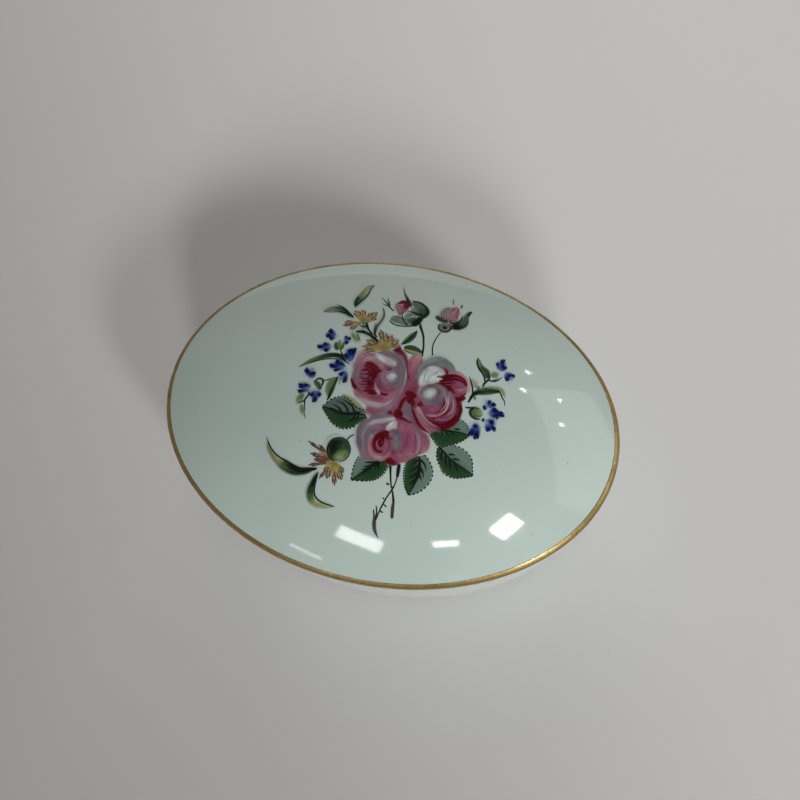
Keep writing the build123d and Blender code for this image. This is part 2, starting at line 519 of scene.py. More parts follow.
def layFilm(art, columns, rows, placeAt, colourAt, softAt, strength, grainAt):
    # a grid whose points are sent to their places (u and v run from 0 to 1)
    for other in paintings:
        other["bm"].faces.ensure_lookup_table()
    made = bmesh.ops.create_grid(art["bm"], x_segments=columns, y_segments=rows, size=1)["verts"]
    art["bm"].faces.ensure_lookup_table()
    for vert in made:
        u, v = (vert.co.x + 1) / 2, (vert.co.y + 1) / 2
        place = placeAt(u, v)
        cover = strength * softAt(u, v)
        colour = colourAt(u, v)
        if cover < 0.99:
            colour = beneath(place).lerp(colour, cover)
        vert.co = (place.x * mm, place.y * mm, domeZ(place.x, place.y) + art["lift"] * mm)
        vert[art["paint"]] = (*colour, 1)
        vert[art["grain"]] = grainAt(u, v)
    bmesh.ops.remove_doubles(art["bm"], verts=made, dist=0.004 * mm)
    art["tree"] = BVHTree.FromBMesh(art["bm"])
    art["lift"] += enamel["lift"]
    art["marks"] += 1


def brush(art, points, widths, tints, strength=1, soft=0.3):
    # One stroke: widths (mm) and tints are spread along it, and its ends run on a little. A tint may be a
    # tuple of colours that lie side by side across the stroke. soft is how much of it fades out.
    points = [Vector(point) for point in points]
    for end, inner, width in ((0, 1, widths[0]), (-1, -2, widths[-1])):
        points[end] = points[end] + (points[end] - points[inner]).normalized() * width * enamel["runOn"]
    samples = enamel["samples"]
    spots = [curveThrough(points, i / samples) for i in range(samples + 1)]
    runs = [0.0]
    for a, b in zip(spots, spots[1:]):
        runs.append(runs[-1] + (b - a).length)
    length = max(runs[-1], 0.01)
    mixed = [[colourOf(name) for name in (tint if isinstance(tint, tuple) else (tint,))] for tint in tints]
    columns = min(max(int(length / enamel["facet"]), 5), 70)
    rows = 2 * min(max(round(max(widths) / enamel["row"] / 2), 2), 8)
    seed = art["marks"] * 7.31 + points[0][0]
    press = enamel["press"] + 0.3 * soft
    widths = [width * press for width in widths]

    def run(u):
        t = 0.4 * u + 0.6 * (0.5 - 0.5 * math.cos(math.pi * u))
        i = min(int(t * samples), samples - 1)
        return t, runs[i] + (runs[i + 1] - runs[i]) * (t * samples - i)

    def placeAt(u, v):
        t, s = run(u)
        way = (curveThrough(points, min(t + 0.01, 1)) - curveThrough(points, max(t - 0.01, 0))).normalized()
        half = max(alongList(widths, t) / 2, 0)
        for reach in (s, length - s):
            if reach < half:
                half *= math.sqrt(max(1 - (1 - reach / half) ** 2, 0))
        half *= 1 + enamel["wobble"] * noise.noise(Vector((s * 1.7, seed, v * 2)))
        return curveThrough(points, t) + Vector((-way.y, way.x)) * half * (1 - 2 * v)

    def colourAt(u, v):
        t, s = run(u)
        hair = 1 + enamel["hair"] * noise.noise(Vector((s * 0.4, v * max(widths) * 2.6, seed)))
        if len(mixed) == 1:
            return alongList(mixed[0], v) * hair
        place = t * (len(mixed) - 1)
        i = min(int(place), len(mixed) - 2)
        return alongList(mixed[i], v).lerp(alongList(mixed[i + 1], v), ease(place - i)) * hair

    def softAt(u, v):
        s = run(u)[1]
        ends = min(s, length - s) / max(soft * max(widths) * 0.5, 0.01)
        return ease((1 - abs(2 * v - 1)) / soft) * ease(ends + 0.3) if soft else 1

    def grainAt(u, v):
        return (run(u)[1], alongList(widths, u) * v, seed)

    layFilm(art, columns, rows, placeAt, colourAt, softAt, strength, grainAt)


def wash(art, outline, centre, tints, strength=1, soft=0.06, rings=16, turns=96):
    # a patch of colour inside a closed outline; tints run from its centre to its edge
    middle, mixed = Vector(centre), [colourOf(name) for name in tints]
    seed = art["marks"] * 7.31
    layFilm(art, turns, rings, lambda u, v: middle + (curveThrough(outline, u, True) - middle) * v,
            lambda u, v: alongList(mixed, v), lambda u, v: ease((1 - v) / soft) if soft else 1, strength,
            lambda u, v: (u * 12, v * 4, seed))


def spot(art, centre, size, tints, strength=1, soft=0.5, turn=0, squeeze=1):
    # a round or oval touch of the brush
    c, s = math.cos(math.radians(turn)), math.sin(math.radians(turn))
    angles = [i * math.tau / 12 for i in range(12)]
    ring = [(math.cos(a) * size, math.sin(a) * size * squeeze) for a in angles]
    outline = [(centre[0] + x * c - y * s, centre[1] + x * s + y * c) for x, y in ring]
    wash(art, outline, centre, tints, strength, soft, max(int(size / 0.14), 4), max(int(size * 24), 16))


def between(art, first, second, tints, strength=1, soft=0.0, teeth=0, jag=0.0):
    # a film stretched between two curves; teeth cut its second edge
    mixed = [[colourOf(name) for name in (tint if isinstance(tint, tuple) else (tint,))] for tint in tints]
    length = sum((curveThrough(second, i / 12) - curveThrough(second, (i + 1) / 12)).length for i in range(12))
    gap = max((curveThrough(first, t) - curveThrough(second, t)).length for t in (0.3, 0.5, 0.7))
    columns = max(min(max(int(length / enamel["facet"]), 6), 70), teeth * 4)
    seed = art["marks"] * 7.31 + first[0][0]

    def placeAt(u, v):
        a, b = curveThrough(first, u), curveThrough(second, u)
        if teeth:
            b = b + (b - a) * jag * ((u * teeth) % 1 - 0.5) * ease(math.sin(math.pi * u) * 2)
        return a.lerp(b, v)

    def colourAt(u, v):
        if len(mixed) == 1:
            return alongList(mixed[0], v)
        i = min(int(u * (len(mixed) - 1)), len(mixed) - 2)
        return alongList(mixed[i], v).lerp(alongList(mixed[i + 1], v), ease(u * (len(mixed) - 1) - i))

    rows = 2 * min(max(round(gap / enamel["row"] / 2), 1), 9)
    layFilm(art, columns, rows, placeAt, colourAt, lambda u, v: ease((1 - v) / soft) if soft else 1, strength,
            lambda u, v: (u * length, v * gap, seed))


def finishPainting(name, art, surface):
    bm = art["bm"].copy()     # the first stays as it is, for later marks to be laid on
    bmesh.ops.dissolve_degenerate(bm, edges=bm.edges[:], dist=0.0005 * mm)
    bmesh.ops.reverse_faces(bm, faces=[face for face in bm.faces if face.normal.z < 0])
    bmesh.ops.solidify(bm, geom=bm.faces[:], thickness=enamel["thickness"] * mm)
    for edge in bm.edges:
        edge.smooth = edge.calc_face_angle(0) < 0.6
    return finishPiece(name, bm, [surface], "lid")


# Places below are in mm from the middle of the lid, along its length and across it. A mark is
# (points, widths, tints, strength, softness); the last two may be left out.

roseLeft = {
    "lift": 0.050,
    "outline": [(-5, 7), (-3.5, 7.8), (-1, 8), (1, 7.1), (2.4, 5.6), (3.1, 4), (3.3, 2), (3, 0), (2.4, -1.6),
                (1.2, -3.3), (-0.5, -4.4), (-2.2, -4), (-2.4, -2.8), (-4.3, -1.6), (-5.3, -0.3), (-6, 2), (-6, 4.6)],
    "centre": (-1.4, 2), "tints": ("rose", "rose", "pink"),
    "marks": [
        # the outer petals, broad and wet
        ([(-5.6, 3.4), (-5.2, 5.6), (-3.9, 6.9), (-2.2, 7.1)], [1.6, 2.6, 2.2, 1.2],
         ["mist", "pink", "pink", "blush"], 0.9, 0.9),
        ([(-5.2, 5.4), (-3.4, 5.9), (-1.9, 5.2), (-1, 4.2)], [1.2, 1.6, 1.5, 0.9],
         ["pink", "blush", "blush", "pink"], 0.9, 0.9),
        ([(-3.2, 7.3), (-1, 7.5), (1, 6.8), (2.3, 5.1), (2.7, 2.9), (2.5, 0.6), (1.7, -1.6), (0.4, -3.1)],
         [0.7, 1.2, 1.5, 1.3, 1.1, 1.0, 1.1, 0.8], ["mist", "haze", "haze", "haze", "haze", "mist", "lilac",
                                                    "mist"], 0.95, 0.7),
        ([(-2.9, 6.9), (-1.7, 6.3), (-0.5, 5.9), (0.9, 5.5)], [0.6, 1.1, 1.4, 0.9],
         ["pearl", "white", "pearl", "pearl"], 1, 0.8),
        ([(1.4, 6.0), (1.9, 4.4), (2.0, 2.8), (1.6, 1.3)], [0.5, 1.2, 1.3, 0.6],
         ["haze", "haze", "mist", "mist"], 0.9, 0.8),
        ([(-4.6, -0.9), (-2.9, -1.4), (-0.9, -1.5), (1.2, -0.8), (2.1, 0.7)], [0.8, 1.5, 1.6, 1.4, 0.6],
         ["pink", "pink", "rose", "pink", "pink"], 0.9, 0.9),
        ([(-4.2, -1.5), (-2.7, -2.0), (-0.8, -2.3), (0.8, -1.9), (1.9, -0.8)], [0.5, 0.9, 1.0, 0.8, 0.4],
         ["blush", "cream", "cream", "blush", "lilac"], 0.85, 0.9),
        ([(-2.0, -3.2), (-0.8, -3.5), (0.6, -3.3), (1.3, -2.7)], [1.2, 1.5, 1.2, 0.7],
         ["mist", "rose", "mist", "mist"], 0.85, 0.9),
        ([(-1.8, -2.9), (-1.2, -3.6), (-0.6, -4.0)], [0.5, 0.8, 0.4], ["deepRose", "rose", "rose"], 0.6, 0.9),
        # stripes in the petals
        ([(-4.9, 6.6), (-3.6, 7.1), (-2.6, 7.1)], [0.25, 0.4, 0.2], ["rose", "rose", "pink"], 0.7, 0.8),
        ([(-5.3, 5.0), (-4.3, 6.1), (-3.0, 6.4)], [0.2, 0.35, 0.2], ["rose", "rose", "pink"], 0.5, 0.8),
        ([(-4.9, 4.6), (-3.6, 5.4), (-2.4, 5.2), (-1.5, 4.3)], [0.3, 0.5, 0.5, 0.2],
         ["mist", "rose", "rose", "deepRose"], 0.7, 0.8),
        ([(-2.6, 4.9), (-1.7, 4.5), (-1.0, 3.7)], [0.3, 0.5, 0.3], ["pink", "mist", "mist"], 0.6, 0.8),
        ([(0.2, -2.6), (1.4, -1.9), (2.1, -0.7), (2.5, 0.9)], [0.2, 0.4, 0.4, 0.2],
         ["haze", "mist", "haze", "mist"], 0.6, 0.8),
        # the open heart
        ([(-5.2, 3.8), (-5.4, 2.6), (-5.1, 1.2), (-4.1, 0.2), (-2.9, -0.4)], [1.0, 1.5, 1.5, 1.5, 1.0],
         ["mist", "mist", "mist", "rose", "rose"], 0.9, 0.9),
        ([(-4.4, 2.9), (-4.1, 2.2), (-3.4, 1.8)], [0.8, 1.3, 0.8], ["slate", "slate", "deepRose"], 0.85, 0.9),
        ([(-4.5, 1.1), (-3.7, 0.5), (-2.8, 0.4)], [0.7, 1.1, 0.7], ["mist", "slate", "rose"], 0.8, 0.9),
        ([(-4.2, 4.2), (-3.3, 4.3), (-2.6, 3.6), (-2.2, 2.6)], [0.4, 1.0, 1.6, 1.6],
         ["crimson", "crimson", "garnet", "garnet"], 1, 0.4),
        ([(-4.1, 4.8), (-3.2, 4.7), (-2.3, 4.0), (-1.5, 3.1), (-1.5, 2.2), (-1.9, 1.4)],
         [0.35, 0.9, 1.3, 1.5, 1.5, 0.7],
         ["crimson", "crimson", "crimson", "garnet", "garnet", "crimson"], 1, 0.35),
        ([(-2.3, 3.6), (-2.3, 2.6), (-2.2, 1.6)], [0.8, 1.5, 0.8], ["garnet"], 1, 0.4),
        ([(-4.6, 3.3), (-4.0, 3.5), (-3.2, 3.9), (-2.6, 3.8)], [0.2, 0.4, 0.8, 0.7],
         ["crimson", "crimson", "crimson", "garnet"], 1, 0.5),
        ([(-3.5, 2.9), (-2.9, 3.1), (-2.3, 3.1)], [0.1, 0.3, 0.6], ["crimson", "crimson", "garnet"], 0.9,
         0.5),
        ([(-4.0, 1.3), (-3.3, 1.5), (-2.6, 1.6), (-2.0, 1.6)], [0.15, 0.4, 0.5, 0.4],
         ["crimson", "crimson", "garnet", "garnet"], 1, 0.5),
        ([(-3.3, 2.3), (-2.8, 2.4), (-2.2, 2.5)], [0.1, 0.3, 0.5], ["crimson", "crimson", "garnet"], 0.9,
         0.5),
        ([(-3.1, 0.2), (-2.3, 0.5), (-1.5, 1.1)], [0.15, 0.3, 0.25], ["crimson"], 0.9, 0.5),
        ([(-3.4, -0.2), (-2.6, -0.1), (-1.9, -0.1), (-1.1, -0.3)], [0.2, 0.6, 0.8, 0.35],
         ["crimson", "crimson", "garnet", "crimson"], 1, 0.4),
        ([(-2.6, -0.5), (-1.8, -0.5), (-1.1, -0.5)], [0.2, 0.45, 0.15], ["garnet", "garnet", "crimson"], 0.9,
         0.5),
        ([(-5.9, 1.7), (-5.6, 1.1), (-5.1, 0.3), (-4.5, -0.3)], [0.15, 0.45, 0.6, 0.15],
         ["crimson", "crimson", "garnet", "crimson"], 1, 0.5),
        ([(-2.9, 1.4), (-2.2, 1.0), (-1.6, 0.9)], [0.6, 1.1, 0.5], ["garnet", "garnet", "crimson"], 1, 0.5),
        ([(-1.9, 3.5), (-1.4, 2.7), (-1.35, 1.8)], [0.6, 1.0, 0.5], ["garnet", "garnet", "crimson"], 1, 0.5),
        # dark teeth and pale hairs
        ([(-4.7, 2.6), (-3.9, 2.75), (-3.1, 2.8)], [0.06, 0.22, 0.4], ["crimson", "crimson", "garnet"], 0.9,
         0.5),
        ([(-4.6, 2.0), (-3.8, 1.95), (-3.0, 2.0)], [0.06, 0.22, 0.4], ["crimson", "crimson", "garnet"], 0.9,
         0.5),
        ([(-4.5, 0.9), (-3.6, 0.85), (-2.8, 1.0)], [0.06, 0.28, 0.4], ["crimson", "crimson", "garnet"], 0.9,
         0.5),
        ([(-3.9, 0.4), (-3.0, 0.45), (-2.2, 0.8)], [0.06, 0.28, 0.4], ["crimson", "crimson", "garnet"], 0.9,
         0.5),
        ([(-3.8, 4.0), (-3.0, 3.75), (-2.4, 3.2)], [0.05, 0.14, 0.05], ["rose", "rose", "deepRose"], 0.75,
         0.6),
        ([(-3.0, 2.6), (-2.5, 2.1), (-2.2, 1.5)], [0.05, 0.14, 0.05], ["rose", "rose", "deepRose"], 0.7, 0.6),
        ([(-4.6, -0.2), (-3.2, -0.9), (-1.4, -1.1), (0.4, -0.7)], [0.06, 0.18, 0.18, 0.06], ["deepRose"],
         0.65, 0.6),
        ([(-4.9, 0.9), (-4.4, 0.0), (-3.4, -0.5)], [0.08, 0.2, 0.08], ["crimson"], 0.7, 0.6),
        ([(-5.7, 4.6), (-5.0, 5.9), (-3.6, 6.7)], [0.06, 0.16, 0.06], ["blush"], 0.7, 0.6),
        ([(-4.7, 5.0), (-3.4, 5.6), (-2.2, 5.2)], [0.06, 0.16, 0.06], ["cream"], 0.6, 0.6),
        ([(2.7, 5.4), (3.1, 3.6), (3.0, 1.2), (2.3, -1.0)], [0.1, 0.28, 0.28, 0.1],
         ["lilac", "pearl", "lilac", "lilac"], 0.7, 0.8),
        ([(0.9, 6.2), (1.6, 5.2), (1.9, 3.6), (1.8, 1.8)], [0.06, 0.2, 0.2, 0.06],
         ["rose", "mist", "mist", "rose"], 0.6, 0.7),
        ([(-3.4, -1.7), (-1.6, -2.0), (0.4, -1.8)], [0.08, 0.24, 0.08], ["white", "cream", "cream"], 0.7,
         0.8),
        # the petal curled over in front, and its ball of light
        ([(-1.5, 2.4), (-1.1, 1.2), (-0.2, 0.5), (1.0, 0.6)], [0.9, 1.5, 1.5, 0.8],
         ["rose", "deepRose", "rose", "pink"], 0.95, 0.7),
        ([(-1.2, 3.4), (-1.0, 2.4), (-0.5, 1.4), (0.4, 0.9)], [0.8, 1.0, 0.9, 0.6],
         ["mist", "rose", "rose", "rose"], 0.9, 0.8),
        ([(-1.7, 1.6), (-1.4, 0.7), (-0.9, 0.1), (-0.5, -0.4)], [0.15, 0.4, 0.4, 0.2],
         ["pink", "blush", "cream", "blush"], 0.95, 0.6),
        ([(-0.5, -0.1), (0.2, -0.2), (0.9, -0.15)], [0.2, 0.45, 0.25], ["crimson", "garnet", "crimson"], 1,
         0.45),
        ([(-0.1, 0.5), (0.7, 0.5), (1.5, 0.9)], [0.3, 0.4, 0.2], ["deepRose", "deepRose", "rose"], 0.7, 0.8),
        ([(0.7, 1.7), (-0.5, 2.3), (-0.6, 3.7), (0.6, 4.4), (2.0, 3.9), (2.2, 2.6), (1.4, 1.7), (0.5, 1.6)],
         [0.9, 0.9, 0.8, 0.8, 0.9, 0.9, 0.9, 0.6], ["haze", "mist", "mist", "haze", "haze", "haze", "haze",
                                                    "haze"], 0.95, 0.6),
        ([(0.1, 3.1), (0.8, 3.15), (1.5, 3.2)], [1.3, 2.0, 1.3], ["pearl", "pearl", "haze"], 1, 0.8),
        ([(0.4, 3.3), (0.9, 3.35), (1.4, 3.3)], [0.8, 1.1, 0.8], ["pearl", "white", "pearl"], 0.7, 0.9),
        ([(-0.4, 4.2), (0.1, 4.4), (0.6, 4.6)], [0.2, 0.42, 0.15], ["crimson", "crimson", "deepRose"], 0.95,
         0.5),
    ],
}

rosePetals = {
    "lift": 0.024,
    "outline": [(3.0, 7.4), (4.2, 8.4), (5.4, 7.4), (6.4, 4.5), (6.6, 1.5), (7.2, -1.6), (8.6, -4.8),
                (6.5, -5.2), (4.0, -4.6),
                (1.4, -4.4), (1.0, -3.0), (2.4, -1.4), (2.4, 1.6), (2.4, 4.6)],
    "centre": (4.5, 0.5), "tints": ("deepRose", "rose", "rose"),
    "marks": [
        # between the two upper roses
        ([(4.2, 7.9), (3.9, 6.5), (4.1, 4.6), (4.3, 2.6)], [1.8, 2.3, 1.8, 1.0],
         ["blush", "pink", "rose", "rose"], 1, 0.5),
        ([(2.6, 6.2), (3.3, 4.8), (3.7, 3.4), (3.9, 1.8)], [0.9, 1.1, 0.9, 0.8],
         ["pink", "pink", "rose", "rose"], 1, 0.6),
        ([(4.9, 5.3), (4.8, 3.8), (4.6, 2.7)], [0.4, 0.6, 0.3], ["haze", "slate", "deepRose"], 0.8, 0.8),
        ([(3.1, 7.0), (3.5, 5.2), (4.0, 3.3)], [0.2, 0.4, 0.2], ["deepRose", "rose", "deepRose"], 0.6, 0.8),
        ([(0.9, 8.4), (1.7, 7.6), (2.5, 6.3), (3.0, 4.9)], [0.8, 1.2, 1.0, 0.5],
         ["crimson", "rose", "rose", "rose"], 1, 0.5),
        ([(0.7, 8.9), (1.6, 8.0), (2.4, 6.8), (2.9, 5.6)], [0.3, 0.35, 0.35, 0.2],
         ["garnet", "crimson", "crimson", "crimson"], 0.9, 0.5),
        ([(2.6, 5.9), (3.0, 5.0), (3.3, 4.1), (3.6, 3.3)], [0.2, 0.4, 0.4, 0.1],
         ["crimson", "garnet", "garnet", "crimson"], 1, 0.5),
        ([(0.3, 9.3), (0.5, 8.5), (0.9, 7.8), (1.3, 7.2)], [0.9, 1.3, 0.9, 0.2],
         ["crimson", "garnet", "crimson", "crimson"], 1, 0.35),
        ([(-0.4, 8.9), (-0.1, 8.3), (0.4, 7.7)], [0.3, 0.5, 0.2], ["deepRose", "crimson", "crimson"], 0.9,
         0.6),
        # between all three
        ([(4.9, 2.6), (4.7, 1.7), (4.4, 1.0)], [0.9, 1.6, 1.4], ["rose", "deepRose", "deepRose"], 1, 0.7),
        ([(4.4, -0.6), (4.9, -1.9), (5.2, -3.0), (5.3, -3.7)], [0.8, 2.0, 2.0, 0.9],
         ["mist", "haze", "mist", "mist"], 1, 0.6),
        ([(4.2, -1.2), (4.5, -2.4), (4.9, -3.4)], [0.3, 0.7, 0.3], ["haze", "slate", "haze"], 0.8, 0.9),
        ([(5.3, -0.7), (5.9, -1.9), (6.1, -3.2)], [0.5, 0.8, 0.5], ["pink", "blush", "pink"], 0.8, 0.9),
        ([(2.2, -1.6), (2.6, -2.3), (2.5, -3.1)], [0.8, 1.3, 0.8], ["rose", "rose", "pink"], 0.9, 0.7),
        ([(3.8, 0.9), (4.7, 0.6), (5.5, 0.7)], [0.8, 1.3, 0.6], ["crimson", "garnet", "crimson"], 1, 0.35),
        ([(4.0, 0.3), (4.7, -0.3), (5.4, -0.9), (6.1, -1.7)], [0.6, 1.1, 0.8, 0.15],
         ["crimson", "garnet", "crimson", "crimson"], 1, 0.35),
        ([(4.0, 0.3), (3.5, -0.7), (3.3, -1.8), (3.1, -2.6)], [0.3, 0.55, 0.6, 0.8],
         ["crimson", "garnet", "garnet", "garnet"], 1, 0.4),
        ([(3.1, -2.4), (3.3, -3.1), (3.8, -3.6)], [1.0, 1.6, 0.8], ["crimson", "garnet", "garnet"], 1, 0.3),
        ([(3.5, -3.6), (4.5, -3.7), (5.4, -4.0), (6.3, -4.1)], [0.6, 0.45, 0.3, 0.1],
         ["crimson", "crimson", "crimson", "deepRose"], 1, 0.5),
        ([(1.3, -3.5), (1.8, -3.2), (2.4, -3.3)], [0.2, 0.75, 0.2], ["crimson", "garnet", "crimson"], 1, 0.4),
        ([(2.0, -2.7), (2.05, -3.2)], [0.2, 0.5], ["crimson", "garnet"], 1, 0.4),
    ],
}

